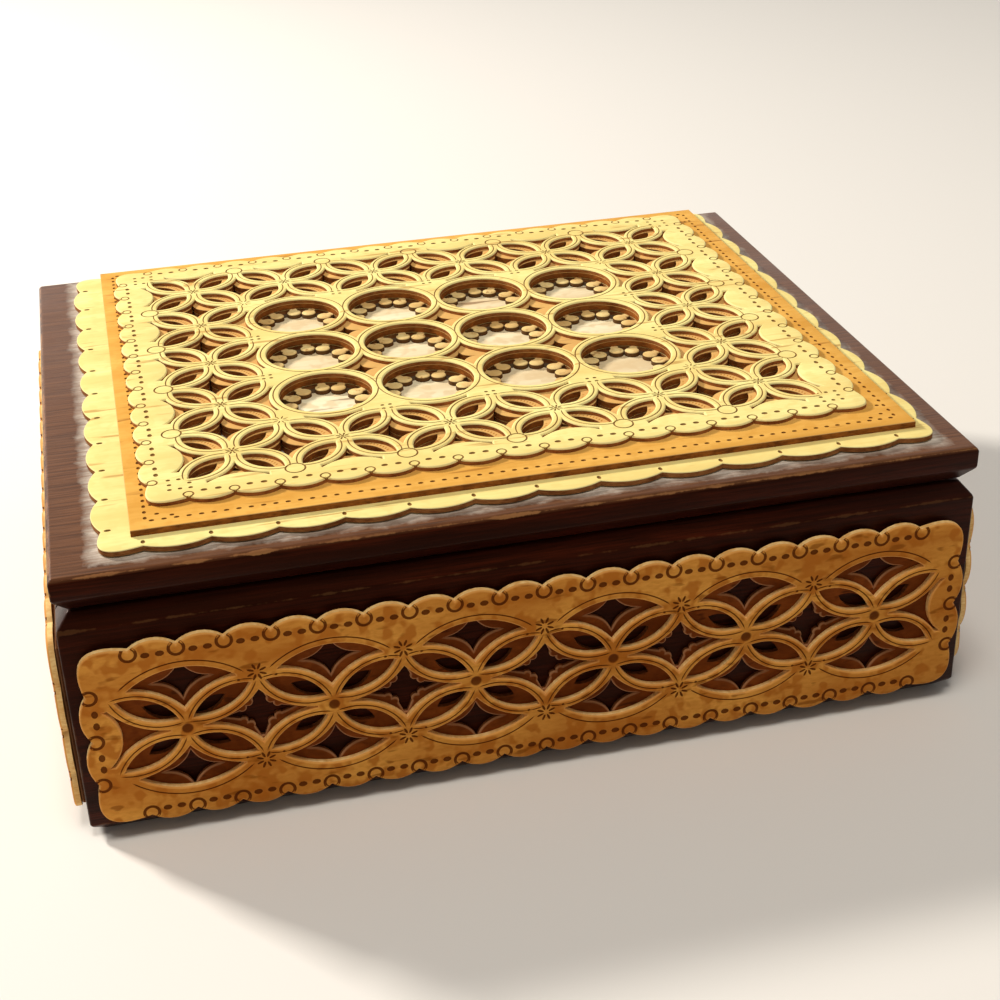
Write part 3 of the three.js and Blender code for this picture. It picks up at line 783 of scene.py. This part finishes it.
def star_quarter(reach, petal, steps):
    """A quarter of a star opening, from its tip on the X axis to its tip on the Y axis."""
    flat, radius = outer_edge(reach, petal)
    cross_x = flat.real - math.sqrt(max(0, radius ** 2 - flat.imag ** 2))
    cross_y = flat.imag - math.sqrt(max(0, radius ** 2 - flat.real ** 2))
    on_x = flat.imag < radius and reach.real - cross_x > petal["hub"]
    on_y = flat.real < radius and reach.imag - cross_y > petal["hub"]
    start, end = complex(cross_x, 0), complex(0, cross_y)
    if not on_x:
        start = leave_hub(flat, radius, complex(reach.real, 0), petal["hub"])
    if not on_y:
        end = leave_hub(flat, radius, complex(0, reach.imag), petal["hub"])
    return arc(flat, start, end, steps)


def without_repeats(points):
    return [p for p, before in zip(points, points[-1:] + points[:-1]) if abs(p - before) > 0.01]


def four_quarters(quarter):
    """A whole opening from its quarter in the first quadrant."""
    left = [-p.conjugate() for p in quarter][::-1]
    low = [-p for p in quarter]
    right = [p.conjugate() for p in quarter][::-1]
    return without_repeats(quarter + left + low + right)


def edge_opening(reach, petal, wing, depth, tip, steps):
    """The opening between a flower at the origin and a border on +X."""
    flat, radius = outer_edge(reach, petal)
    quarter = star_quarter(reach, petal, 6)
    wing_x = flat.real - math.sqrt(radius ** 2 - (wing - flat.imag) ** 2)
    side = arc(flat, quarter[0], complex(wing_x, wing), 8)
    corner = complex(reach.real - depth, wing)
    border = bulge(corner, corner.conjugate(), depth - tip, steps)
    whole = side + border + [p.conjugate() for p in side][::-1]
    return [complex(reach.real - p.real, p.imag) for p in without_repeats(whole)]


def petal_lines(flower, reach, skew, length, width):
    """The knife lines along the middle of a petal's two bands."""
    lens = petal_lens(flower, reach, skew, length, width, 14)
    half = len(lens) // 2
    return knife_line(lens[:half + 1]) + knife_line(lens[half:] + lens[:1])


def quadrants(reach):
    return [complex(x * reach.real, y * reach.imag) for x in (1, -1) for y in (1, -1)]


# ---- The bark on the four walls ----
# Each wall carries a brown under sheet, cut with small petals and stars, and over it the
# scalloped tan fretwork: a row of flowers, stamped stars, rings in the notches and dots.

PANEL_MARGIN, PANEL_HEIGHT, PANEL_MIDDLE = 1.4, 36, 20.9
PANEL_THICKNESS, UNDER_THICKNESS, UNDER_INSET = 1.2, 0.9, 2.2
PANEL_LOBE, PANEL_CORNER, PANEL_NOTCH = 7.7, 9.2, 1.4
FLOWER_PITCH, STAR_RISE, END_MARGIN = 24.6, 9, 17
PANEL_PETAL = {"edge_length": 18, "edge_width": 6.8, "skew": 9, "hub": 2.8}
PANEL_OPENING = (11.2, 4)

# Smoothed bark is dull and warm, and the punches leave it dark. The under sheet is stained
tan_bark = birch_bark(
    "birch_bark_tan_stamped", (0.35, 0.35, 1),
    "#E09E46", "#B0651F", "#86480F", "#5E2A08", "#E8A85C", mottling=0.8)
# The tan cut edges are pale as cut bark is, and paler still as a painted highlight of the light
# from above on their upper edges.
tan_edge_painted_highlight = cut_bark("birch_bark_tan_knife_cut", "#FAD592", "#DFA860")
brown_bark = birch_bark(
    "birch_bark_brown_stained", (0.35, 0.35, 1),
    "#864419", "#552409", "#3A1808", "#2A1006", "#CC9468")
brown_edge = cut_bark("birch_bark_brown_knife_cut", "#8A5530", "#5A3018")


def panel_flowers(length):
    """The middles of the flowers before they are stretched along the wall, and the stretch."""
    row = length - 2 * END_MARGIN
    count = round(row / FLOWER_PITCH) + 1
    places = [(i - (count - 1) / 2) * FLOWER_PITCH for i in range(count)]
    return places, row / ((count - 1) * FLOWER_PITCH)


def stretched(points, stretch):
    return [complex(p.real * stretch, p.imag) for p in points]


def fretwork_panel(length):
    """The tan sheet of a wall: a row of flowers, arches over and under them and a tongue-shaped
    opening at each end. The row is stretched a little to fill the wall."""
    flowers, stretch = panel_flowers(length)
    reach = complex(FLOWER_PITCH / 2, STAR_RISE)
    upright = complex(STAR_RISE, FLOWER_PITCH / 2)
    skew = PANEL_PETAL["skew"]
    leaning = {**PANEL_PETAL, "skew": -skew}
    arch = edge_opening(upright, leaning, wing=8.8, depth=9, tip=12.1, steps=14)
    tongue = edge_opening(reach, PANEL_PETAL, wing=5.6, depth=13.2, tip=10.6, steps=10)
    star = four_quarters(star_quarter(reach, PANEL_PETAL, steps=8))
    openings, marks = [], []
    for x in flowers:
        for quadrant in quadrants(reach):
            openings.append(petal_lens(x, quadrant, skew, *PANEL_OPENING, steps=12))
            marks += petal_lines(x, quadrant, skew, length=13.4, width=5.5)
        openings += [[p * 1j + x for p in arch], [p * -1j + x for p in arch]]
        for side in (1, -1):
            end = complex(10.4, 9.2) * side
            over_arch = bulge(x - end.conjugate(), x + end, rise=4.1, steps=24)
            marks += knife_line(over_arch, width=0.38)
        marks += dot_mark(x, 1.15, width=1.15, depth=0.2, sides=16, slope=0.55)
    for x in (flowers[0] - FLOWER_PITCH / 2, *[x + FLOWER_PITCH / 2 for x in flowers]):
        if abs(x) < flowers[-1]:
            openings.append([p + x for p in star])
            for middle in (complex(x, STAR_RISE), complex(x, -STAR_RISE)):
                marks += ray_mark(middle, radius=1.8, width=0.26)
                for side in (-1, 1):
                    marks += dot_mark(middle + side * 3.1 - middle.imag * 0.12j, 0.3, width=0.26)
    openings += [[p + flowers[-1] for p in tongue], [-p + flowers[0] for p in tongue]]
    openings = [stretched(opening, stretch) for opening in openings]
    marks = [(stretched(path, stretch), depths, closed) for path, depths, closed in marks]

    outline, notches = scallops(length, PANEL_HEIGHT, PANEL_LOBE, PANEL_CORNER, PANEL_NOTCH)
    marks += edge_stamps(
        notches, 0.6, {"radius": 1.25, "width": 0.6}, 1.15, (-1.2, 1.15), 0.78, {"width": 0.58})
    return carve(outline, openings, marks, PANEL_THICKNESS, rim=0.4)


def scalloped_star():
    """The hole under the middle opening: a star whose sides carry two small tabs each."""
    tip, one, two, three, top = 6 + 0j, 3.5 + 0.75j, 2.2 + 1.55j, 1.15 + 2.75j, 0.3 + 4.8j
    tabs = bulge(one, two, rise=0.55, steps=7) + bulge(two, three, rise=0.55, steps=7)[1:]
    return four_quarters([tip] + tabs + [top])


def under_panel(length):
    """The brown sheet under a wall's fretwork, whose lens-shaped holes keep sharp rims."""
    flowers, stretch = panel_flowers(length)
    reach = complex(FLOWER_PITCH / 2, STAR_RISE)
    openings, lenses = [], []
    star = four_quarters(bulge(5 + 0j, 3.7j, rise=0.98, steps=12))
    for x in flowers:
        for quadrant in quadrants(reach):
            lenses.append(petal_lens(
                x, quadrant, PANEL_PETAL["skew"], length=6.8, width=2.7, steps=8, shift=-2.6))
        for y in (-STAR_RISE, STAR_RISE):
            openings.append([p + complex(x, y) for p in star])
        if x != flowers[-1]:
            openings.append([p + x + FLOWER_PITCH / 2 for p in scalloped_star()])
    openings, lenses = (
        [stretched(hole, stretch) for hole in holes] for holes in (openings, lenses))
    outline = rectangle(length - 2 * UNDER_INSET, PANEL_HEIGHT - 2 * UNDER_INSET)
    return carve(outline, openings, [], UNDER_THICKNESS, rim=0.42, sharp_openings=lenses)


long_panel = BOX_WIDTH - 2 * PANEL_MARGIN
short_panel = BOX_DEPTH - 2 * PANEL_MARGIN
sheets = {
    length: (under_panel(length), fretwork_panel(length)) for length in (long_panel, short_panel)
}
for side, length, distance, angle in (
    ("front", long_panel, half_y, 0),
    ("back", long_panel, half_y, math.pi),
    ("left", short_panel, half_x, -math.pi / 2),
    ("right", short_panel, half_x, math.pi / 2),
):
    upright = Matrix.Rotation(math.pi / 2, 4, "X")
    upright = Matrix.Translation((0, -distance, PANEL_MIDDLE)) @ upright
    placed = Matrix.Rotation(angle, 4, "Z") @ upright
    under, fretwork = sheets[length]
    bark_sheet(
        side + "_under_sheet", under, placed, brown_bark, brown_edge,
        "box", side + "_under_panel", "brown_bark")
    raised = placed @ Matrix.Translation((0, 0, UNDER_THICKNESS))
    bark_sheet(
        side + "_fretwork", fretwork, raised, tan_bark, tan_edge_painted_highlight,
        "box", side + "_fretwork_panel", "tan_bark")


# ---- The bark on the lid ----
# Four sheets are glued on each other: a thin backing, a scalloped base plate, a smooth ochre
# mat and the cream fretwork plate, with twelve round wells through the upper ones.

BACKING_THICKNESS, BACKING_INSET = 0.3, 4
BASE_THICKNESS, BASE_LOBE, BASE_CORNER, BASE_NOTCH = 1, 10.95, 8, 1.5
MAT_THICKNESS, MAT_SIZE, MAT_CENTRE = 1.2, (137.8, 120), complex(2.6, 2.2)
FRET_THICKNESS, FRET_SIZE, FRET_CENTRE = 1, (130.8, 110.4), complex(1.5, 3.4)
FRET_LOBE, FRET_CORNER, FRET_NOTCH = 7.67, 7.8, 1.4
LID_PITCH, COLUMNS, ROWS = 19.55, 6, 5
WELL_RADIUS, WELL_BAND = 8.7, 1.9
LID_PETAL = {"edge_length": 13.8, "edge_width": 8, "skew": 0, "hub": 2}
LID_OPENING = (9.4, 4.4)
LID_REACH = complex(LID_PITCH / 2, LID_PITCH / 2)

# Cream and white bark is the least smoked, and the ochre mat is rubbed smooth. All are dull
cream_bark, white_bark, ochre_bark = (
    birch_bark(name, (0.12, 1, 1), *colours) for name, *colours in (
        ("birch_bark_cream_stamped", "#F6EB9E", "#E8CC7C", "#B98A48", "#74461A", "#F9EEAC"),
        # The white bark's stamp colour only darkens the painted shade ring on the wells' floor.
        ("birch_bark_white_outer_side",
         "#F5ECCA", "#D8BF94", "#7C5638", "#331A0C", "#F5ECCA", 0.6),
        ("birch_bark_ochre_smoothed", "#E9B45A", "#D0953E", "#A0682A", "#5E3010", "#D3AD74"),
    ))
cream_edge = cut_bark("birch_bark_cream_knife_cut", "#B27743", "#7C4824")
ochre_edge = cut_bark("birch_bark_ochre_knife_cut", "#A8662C", "#6E3F1C")


def is_well(column, row):
    return 0 < column < COLUMNS - 1 and 0 < row < ROWS - 1


def is_outside(column, row):
    return not (0 <= column < COLUMNS and 0 <= row < ROWS)


def lattice(column, row):
    return FRET_CENTRE + LID_PITCH * complex(column - (COLUMNS - 1) / 2, row - (ROWS - 1) / 2)


cells = [(column, row) for column in range(COLUMNS) for row in range(ROWS)]
wells = [lattice(*cell) for cell in cells if is_well(*cell)]
flowers = [lattice(*cell) for cell in cells if not is_well(*cell)]


def lid_fretwork():
    """The cream sheet: a lattice of flowers round the border, and wells in its middle."""
    well_edge = WELL_RADIUS + WELL_BAND
    wing = 5.3
    by_border = edge_opening(LID_REACH, LID_PETAL, wing, depth=10.6, tip=8.4, steps=10)
    by_well = edge_opening(
        LID_REACH, LID_PETAL, wing, depth=LID_PITCH - math.sqrt(well_edge ** 2 - wing ** 2),
        tip=LID_PITCH - well_edge, steps=10)
    star = four_quarters(star_quarter(LID_REACH, LID_PETAL, steps=8))
    tip = LID_PITCH / 2 - math.sqrt(well_edge ** 2 - (LID_PITCH / 2) ** 2)
    well_star = four_quarters(arc(LID_REACH, complex(tip, 0), complex(0, tip), steps=8))
    openings = [circle(well, WELL_RADIUS, sides=64) for well in wells]
    marks = []
    for well in wells:
        marks += ring_mark(well, WELL_RADIUS + 1.1, width=0.3, depth=0.1, sides=56)
    for column, row in cells:
        centre = lattice(column, row)
        if is_well(column, row):
            if is_well(column + 1, row) and is_well(column, row + 1):
                openings.append([p + centre + LID_REACH for p in well_star])
            continue
        for quadrant in quadrants(LID_REACH):
            openings.append(petal_lens(centre, quadrant, 0, *LID_OPENING, steps=14))
            marks += petal_lines(centre, quadrant, 0, length=11.6, width=6.5)
        marks += ray_mark(centre, radius=1.35, width=0.2)
        marks += dot_mark(centre, 0.34, width=0.34, depth=0.1, sides=8)
        for side in range(4):
            step = 1j ** side
            beyond = (column + round(step.real), row + round(step.imag))
            if is_outside(*beyond):
                openings.append([p * step + centre for p in by_border])
            elif is_well(*beyond):
                openings.append([p * step + centre for p in by_well])
            elif side < 2:
                openings.append([p + step * LID_PITCH / 2 + centre for p in star])

    # Stamps between the cells: rings at the border, stars among flowers, dots beside the wells
    for column in range(-1, COLUMNS):
        for row in range(-1, ROWS):
            node = lattice(column, row) + LID_REACH
            near = [(column + i, row + j) for i in (0, 1) for j in (0, 1)]
            outside = sum(is_outside(*cell) for cell in near)
            beside = sum(is_well(*cell) for cell in near)
            if outside == 2:
                marks += ring_mark(node, radius=1.72, width=0.36, depth=0.14, sides=28)
            elif outside == 0 and beside in (0, 1):
                marks += ray_mark(node, radius=1.6, width=0.15)
            elif beside in (2, 3):
                for k in range(4):
                    spot = node + cmath.rect(1, math.pi * (k + 0.5) / 2)
                    marks += dot_mark(spot, 0.42, width=0.34, depth=0.16, sides=8)

    outline, notches = scallops(*FRET_SIZE, FRET_LOBE, FRET_CORNER, FRET_NOTCH)
    outline = [p + FRET_CENTRE for p in outline]
    marks += edge_stamps(
        [(notch + FRET_CENTRE, inward) for notch, inward in notches],
        0.75, {"radius": 0.85, "width": 0.36, "depth": 0.12, "sides": 16},
        1.55, (-1.2, 1.2), 0.62, {"width": 0.46, "depth": 0.18})

    # A rosette of dots in each corner
    corner = complex(FRET_SIZE[0] / 2 - 6.6, FRET_SIZE[1] / 2 - 6.2)
    for quadrant in quadrants(corner):
        for k in range(8):
            spot = cmath.rect(2.5 if k % 2 else 1.7, 2 * math.pi * k / 8)
            marks += dot_mark(
                FRET_CENTRE + quadrant + spot, 0.44, width=0.38, depth=0.16, sides=8)
    return carve(outline, openings, marks, FRET_THICKNESS, rim=0.4)


def petal_holes(grow, shift):
    """The smaller petals and stars that are cut through the sheets under the fretwork. They lie
    a little to the left of the fretwork's openings."""
    star = four_quarters(bulge(4.7 * grow + 0j, 4.7j * grow, rise=1.35 * grow, steps=8))
    spear = [3.6 + 0j, 6.3 - 1.7j, 5.9 + 0j, 6.3 + 1.7j]
    holes = []
    for column, row in cells:
        if is_well(column, row):
            if is_well(column + 1, row) and is_well(column, row + 1):
                middle = lattice(column, row) + LID_REACH + shift * 1.5
                holes.append([p * 0.6 + middle for p in star])
            continue
        centre = lattice(column, row) + shift
        for quadrant in quadrants(LID_REACH):
            holes.append(petal_lens(
                centre, quadrant, 0, length=7.6 * grow, width=2.9 * grow, steps=8))
        for step in (1, 1j):
            beyond = (column + round(step.real), row + round(step.imag))
            if not is_outside(*beyond) and not is_well(*beyond):
                holes.append([p + step * LID_PITCH / 2 + centre for p in star])
        for step in (1, 1j, -1, -1j):
            if is_outside(column + round(step.real), row + round(step.imag)):
                holes.append([p * step + centre for p in spear])
    return holes


HOLE_SHIFT = complex(-0.75, 0.15)
MAT_DOT_INSET, MAT_DOT_PITCH = 2.6, 2.05
PALER_UNDER_FRETWORK = -0.7


def lid_mat():
    """The mat: a row of dots along its edge, dots in its corners and, round each small petal,
    stitch-like cuts that show through the fretwork."""
    marks = []
    across, along = MAT_SIZE[0] / 2 - MAT_DOT_INSET, MAT_SIZE[1] / 2 - MAT_DOT_INSET
    for length, turned, away in ((across, 1, along), (along, 1j, across)):
        count = round(2 * length / MAT_DOT_PITCH)
        for k in range(count):
            t = -length + 2 * length * (k + 0.5) / count
            for side in (-1, 1):
                spot = MAT_CENTRE + turned * complex(t, side * away)
                marks += dot_mark(spot, 0.5 * turned, width=0.36, depth=0.16, sides=8)
    for quadrant in quadrants(complex(across, along)):
        for left, low in ((4.4, 1), (1.2, 5.4), (2, 2)):
            spot = complex(
                math.copysign(across - left, quadrant.real),
                math.copysign(along - low, quadrant.imag))
            marks += dot_mark(MAT_CENTRE + spot, 0.44, width=0.36, depth=0.16, sides=8)
    for flower in flowers:
        for quadrant in quadrants(LID_REACH):
            middle = flower + HOLE_SHIFT + quadrant / 2
            axis = quadrant / abs(quadrant)
            for side in (-1, 1):
                for k in range(9):
                    t = (k - 4) * 0.66
                    inner = 1.45 * (1 - (t / 3.9) ** 2) + 0.2
                    outer = 2.5 * (1 - (t / 5.2) ** 2)
                    start, end = (
                        middle + axis * complex(t, side * reach) for reach in (inner, outer))
                    marks += knife_line([start, (start + end) / 2, end], width=0.34, depth=0.18)
    outline = rectangle(*MAT_SIZE, MAT_CENTRE)
    openings = [circle(well, WELL_RADIUS, sides=64) for well in wells]
    openings += petal_holes(1, HOLE_SHIFT)
    vertices, faces, brown = carve(outline, openings, marks, MAT_THICKNESS, rim=0.14)
    # Under the fretwork, where it shows through the openings, the mat is drawn paler than at its
    # open border
    for index, (x, y, _) in enumerate(vertices):
        away = complex(x, y) - FRET_CENTRE
        covered = (abs(away.real) < FRET_SIZE[0] / 2 - 2
                   and abs(away.imag) < FRET_SIZE[1] / 2 - 2)
        if covered and brown[index] == 0:
            brown[index] = PALER_UNDER_FRETWORK
    return vertices, faces, brown


TOOTH_ROOT, TOOTH_TIP, TOOTH_COUNT = WELL_RADIUS + 0.1, 5.3, 12
BASE_MIDDLE = complex(*BASE_CENTRE)


def lid_base():
    """The scalloped plate, with a dot in each notch. Its wells are open as far as the teeth."""
    outline, notches = scallops(*BASE_SIZE, BASE_LOBE, BASE_CORNER, BASE_NOTCH, steps=10)
    marks = []
    for notch, inward in notches:
        marks += dot_mark(
            notch + BASE_MIDDLE + inward * 1.1, 0.62 * inward, width=0.4, depth=0.22)
    openings = [circle(well, TOOTH_ROOT, sides=48) for well in wells]
    openings += petal_holes(1.04, HOLE_SHIFT)
    return carve([p + BASE_MIDDLE for p in outline], openings, marks, BASE_THICKNESS, rim=0.2)


def lid_backing():
    """The backing: the floor of the wells, with painted shade in a dark ring under the teeth."""
    outline = rectangle(*(size - 2 * BACKING_INSET for size in BASE_SIZE), BASE_MIDDLE)
    marks = []
    for well in wells:
        # Painted shade: the ring darkens the floor under the teeth and at the foot of the well's
        # wall, where they would shade it.
        marks += ring_mark(well, radius=7.85, width=2, depth=0.02, sides=40)
    return carve(outline, petal_holes(1.06, HOLE_SHIFT), marks, BACKING_THICKNESS, rim=0.05)


height = LID_TOP
for name, kind, carved, thickness, face, cut, slot in (
    ("backing", "sheet", lid_backing(), BACKING_THICKNESS, white_bark, cream_edge, "cream_bark"),
    ("base", "plate", lid_base(), BASE_THICKNESS, cream_bark, cream_edge, "cream_bark"),
    ("mat", "plate", lid_mat(), MAT_THICKNESS, ochre_bark, ochre_edge, "ochre_bark"),
    ("fretwork", "plate", lid_fretwork(), FRET_THICKNESS, cream_bark, cream_edge, "cream_bark"),
):
    bark_sheet(
        "lid_" + name, carved, Matrix.Translation((0, 0, height)), face, cut,
        "lid", f"lid_{name}_{kind}", slot)
    height += thickness


# ---- The teeth in the wells ----
# Twelve round-headed tabs of bark stick into each well from the base plate. Their tops are
# cream like the plate, and their cut sides are brown like cut bark and darker still as painted
# shade.


def plain_mesh(name, tree, values, material):
    """Runs a tree of geometry nodes on an empty mesh and keeps the result as a plain mesh."""
    data = bpy.data.meshes.new(name)
    piece = new_object(name, data)
    modifier = piece.modifiers.new("maker", "NODES")
    modifier.node_group = tree
    for item in tree.interface.items_tree:
        if item.item_type == "SOCKET" and item.in_out == "INPUT" and item.name in values:
            modifier[item.identifier] = values[item.name]
    graph = bpy.context.evaluated_depsgraph_get()
    made = bpy.data.meshes.new_from_object(piece.evaluated_get(graph))
    piece.modifiers.clear()
    piece.data = made
    bpy.data.meshes.remove(data)
    made.name = name
    made.materials.clear()
    made.materials.append(material)
    made.polygons.foreach_set("material_index", [0] * len(made.polygons))
    return piece


def new_tree(name, inputs):
    """A geometry node tree with named inputs: (name, kind of socket, value)."""
    tree = bpy.data.node_groups.new(name, "GeometryNodeTree")
    tree.interface.new_socket("Geometry", in_out="OUTPUT", socket_type="NodeSocketGeometry")
    for label, kind, value in inputs:
        socket = tree.interface.new_socket(label, in_out="INPUT", socket_type=kind)
        if value is not None:
            socket.default_value = value
    return tree, tree.nodes.new("NodeGroupInput").outputs


def end_tree(tree, geometry, material):
    """Ends a tree: instances made real, the finish set, and the result handed out."""
    real = add(tree, "GeometryNodeRealizeInstances", {0: geometry})[0]
    painted = add(tree, "GeometryNodeSetMaterial", {"Geometry": real, "Material": material})
    add(tree, "NodeGroupOutput", {0: painted[0]})


def point_object(name, points):
    """An object of bare points, given in millimetres, for a tree to place copies on."""
    data = bpy.data.meshes.new(name)
    data.from_pydata([Vector(point) * MM for point in points], [], [])
    return new_object(name, data)


# The stamp colour here is the teeth's sides: the brown of cut bark, with painted shade on it.
tooth_bark_shaded_sides = birch_bark(
    "birch_bark_teeth_stained_sides", (1, 1, 1),
    "#EFD898", "#CBA262", "#94602E", "#4A2610", "#F0DCA4")

head_radius, neck_half, tooth_sharp_angle, tooth_seed = 1.5, 0.85, 50, 4
head = complex(TOOTH_TIP + head_radius, 0)
neck = head + complex(math.sqrt(head_radius ** 2 - neck_half ** 2), neck_half)
profile = [complex(TOOTH_ROOT + 0.2, neck_half)] + arc(head, neck, head - head_radius, 6)
profile += [p.conjugate() for p in profile[-2::-1]]
tooth_mesh = bmesh.new()
rings = []
for inward, z in ((0, 0.02), (0, 0.72), (0.08, 0.88), (0.3, 0.985)):
    loop = inset(counterclockwise(profile), inward)
    rings.append([tooth_mesh.verts.new((p.real, p.imag, z)) for p in loop])
for low, high in zip(rings, rings[1:]):
    for k in range(len(low)):
        tooth_mesh.faces.new((low[k - 1], low[k], high[k], high[k - 1]))
tooth_mesh.faces.new(rings[0][::-1])
tooth_mesh.faces.new(rings[-1])
tooth = finish_mesh("well_tooth_pattern", tooth_mesh, [cream_bark], tooth_sharp_angle)
# Painted shade: the sides below the rounded top take the dark stamp colour.
sides = tooth.data.attributes.new("brown", "FLOAT", "POINT").data
sides.foreach_set("value", [1.0 if v.co.z < 0.8 * MM else 0.0 for v in tooth.data.vertices])

base_height = LID_TOP + BACKING_THICKNESS
well_object = point_object("well_points", [(w.real, w.imag, base_height) for w in wells])

tree, given = new_tree("rings_of_teeth", [
    ("Wells", "NodeSocketObject", None),
    ("Tooth", "NodeSocketObject", None),
    ("Teeth in a ring", "NodeSocketInt", TOOTH_COUNT),
    ("Seed", "NodeSocketInt", tooth_seed),
])
tooth_shape, well_shape = (
    add(tree, "GeometryNodeObjectInfo", {"Object": given[name]})["Geometry"]
    for name in ("Tooth", "Wells"))
spots = add(tree, "GeometryNodePoints", {"Count": given["Teeth in a ring"]})[0]
number = add(tree, "GeometryNodeInputIndex")[0]
share = add(tree, "ShaderNodeMath", {
    0: number, 1: given["Teeth in a ring"],
}, operation="DIVIDE")[0]
wobble = add(tree, "FunctionNodeRandomValue", {2: -0.05, 3: 0.05, "Seed": given["Seed"]})
angle = add(tree, "ShaderNodeMath", {
    0: share, 1: 2 * math.pi, 2: wobble[1],
}, operation="MULTIPLY_ADD")[0]
spin = add(tree, "ShaderNodeCombineXYZ", {2: angle})[0]
ring = add(tree, "GeometryNodeInstanceOnPoints", {
    "Points": spots, "Instance": tooth_shape, "Rotation": spin,
})[0]
ring = add(tree, "GeometryNodeRealizeInstances", {0: ring})[0]
all_rings = add(tree, "GeometryNodeInstanceOnPoints", {"Points": well_shape, "Instance": ring})
end_tree(tree, all_rings[0], tooth_bark_shaded_sides)
teeth = plain_mesh("lid_well_teeth", tree, {
    "Wells": well_object, "Tooth": tooth, "Teeth in a ring": TOOTH_COUNT, "Seed": tooth_seed,
}, tooth_bark_shaded_sides)
bpy.data.objects.remove(tooth)
bpy.data.objects.remove(well_object)
shade_round(teeth.data, tooth_sharp_angle)
take_place(teeth, "lid", "cream_bark")


# ---- The hinges ----
# Two small brass butt hinges are let into the back edge, each held by four countersunk
# screws with slotted heads. The brass is stamped, drawn and dulled by handling.

brass, tree = new_material("brass_rolled_dulled")
place = add(tree, "ShaderNodeTexCoord")["Object"]
tarnish = add(tree, "ShaderNodeTexNoise", {"Vector": place, "Scale": 420, "Detail": 5})[0]
roughness = add(tree, "ShaderNodeMapRange", {0: tarnish, 1: 0.3, 2: 0.7, 3: 0.24, 4: 0.5})
end_material(tree, {
    "Base Color": lay_over(tree, linear("#C9A45A"), [(tarnish, 0.4, 0.68, 1, "#86683A")]),
    "Metallic": 1, "Roughness": roughness[0],
})

hinge_sharp_angle = 50
for side in ("left", "right"):
    for part, body in (("body_leaf", "box"), ("lid_leaf", "lid"), ("pin", "box")):
        # The solid's own shape, with its facets welded so that only the knuckles shade round
        node = f"{side}_hinge_{part}"
        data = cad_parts[node].data.copy()
        welded = bmesh.new()
        welded.from_mesh(data)
        bmesh.ops.remove_doubles(welded, verts=welded.verts, dist=0.001 * MM)
        welded.transform(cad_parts[node].matrix_world)
        welded.to_mesh(data)
        welded.free()
        shade_round(data, hinge_sharp_angle)
        for face in data.polygons:
            middle = face.center / MM
            from_pin = abs(complex(middle.y - HINGE_Y, middle.z - HINGE_Z))
            face.use_smooth = from_pin < 1.02 * knuckle_radius
        data.materials.clear()
        data.materials.append(brass)
        take_place(new_object(node + "_rolled", data), body, "brass", node)

screw_head, screw_shank, screw_length, screw_spacing, screw_from_pin = 1.4, 0.7, 5, 14, 4.4
slot_length, slot_width, slot_depth, screw_point = 4, 0.42, 0.35, 0.15

tree, given = new_tree("slotted_screws", [
    ("Places", "NodeSocketObject", None),
    ("Head radius", "NodeSocketFloat", screw_head * MM),
    ("Shank radius", "NodeSocketFloat", screw_shank * MM),
    ("Length", "NodeSocketFloat", screw_length * MM),
    ("Upside down", "NodeSocketFloat", 0.0),
])
places = add(tree, "GeometryNodeObjectInfo", {"Object": given["Places"]})["Geometry"]
taper = add(tree, "ShaderNodeMath", {
    0: given["Head radius"], 1: given["Shank radius"],
}, operation="SUBTRACT")[0]
rest = add(tree, "ShaderNodeMath", {0: given["Length"], 1: taper}, operation="SUBTRACT")[0]
slot_size = add(tree, "ShaderNodeCombineXYZ", {
    0: slot_length * MM, 1: slot_width * MM, 2: 2 * slot_depth * MM,
})[0]
slot_cut = add(tree, "GeometryNodeMeshCube", {"Size": slot_size})[0]

# The head and the shank are both cones, each standing on its lower end
cones = []
for sides, upper, lower, height, depth in (
    (24, given["Head radius"], given["Shank radius"], taper, taper),
    (16, given["Shank radius"], screw_point * MM, rest, given["Length"]),
):
    cone = add(tree, "GeometryNodeMeshCone", {
        "Vertices": sides, "Radius Top": upper, "Radius Bottom": lower, "Depth": height,
    })[0]
    drop = add(tree, "ShaderNodeMath", {0: depth, 1: -1}, operation="MULTIPLY")[0]
    drop = add(tree, "ShaderNodeCombineXYZ", {2: drop})[0]
    cone = add(tree, "GeometryNodeTransform", {"Geometry": cone, "Translation": drop})
    cones.append(cone[0])
head = add(tree, "GeometryNodeMeshBoolean", {0: cones[0], 1: slot_cut}, operation="DIFFERENCE")[0]
whole = tree.nodes.new("GeometryNodeJoinGeometry")
for part in (head, cones[1]):
    tree.links.new(part, whole.inputs[0])
flip = add(tree, "ShaderNodeCombineXYZ", {0: given["Upside down"]})[0]
screws = add(tree, "GeometryNodeInstanceOnPoints", {
    "Points": places, "Instance": whole.outputs[0], "Rotation": flip,
})[0]
end_tree(tree, screws, brass)

for part, body, upside_down, gap in (
    ("body", "box", 0, -SEAM / 2), ("lid", "lid", math.pi, SEAM / 2),
):
    spots = point_object("screw_places", [
        (x + shift, HINGE_Y - screw_from_pin, HINGE_Z + gap)
        for x in hinge_places for shift in (-screw_spacing / 2, screw_spacing / 2)
    ])
    screws = plain_mesh(f"{part}_hinge_screws", tree, {
        "Places": spots, "Head radius": screw_head * MM, "Shank radius": screw_shank * MM,
        "Length": screw_length * MM, "Upside down": upside_down,
    }, brass)
    bpy.data.objects.remove(spots)
    shade_round(screws.data)
    take_place(screws, body, "brass", *[
        f"{side}_hinge_{part}_screw_{number}" for side in ("left", "right") for number in (1, 2)
    ])
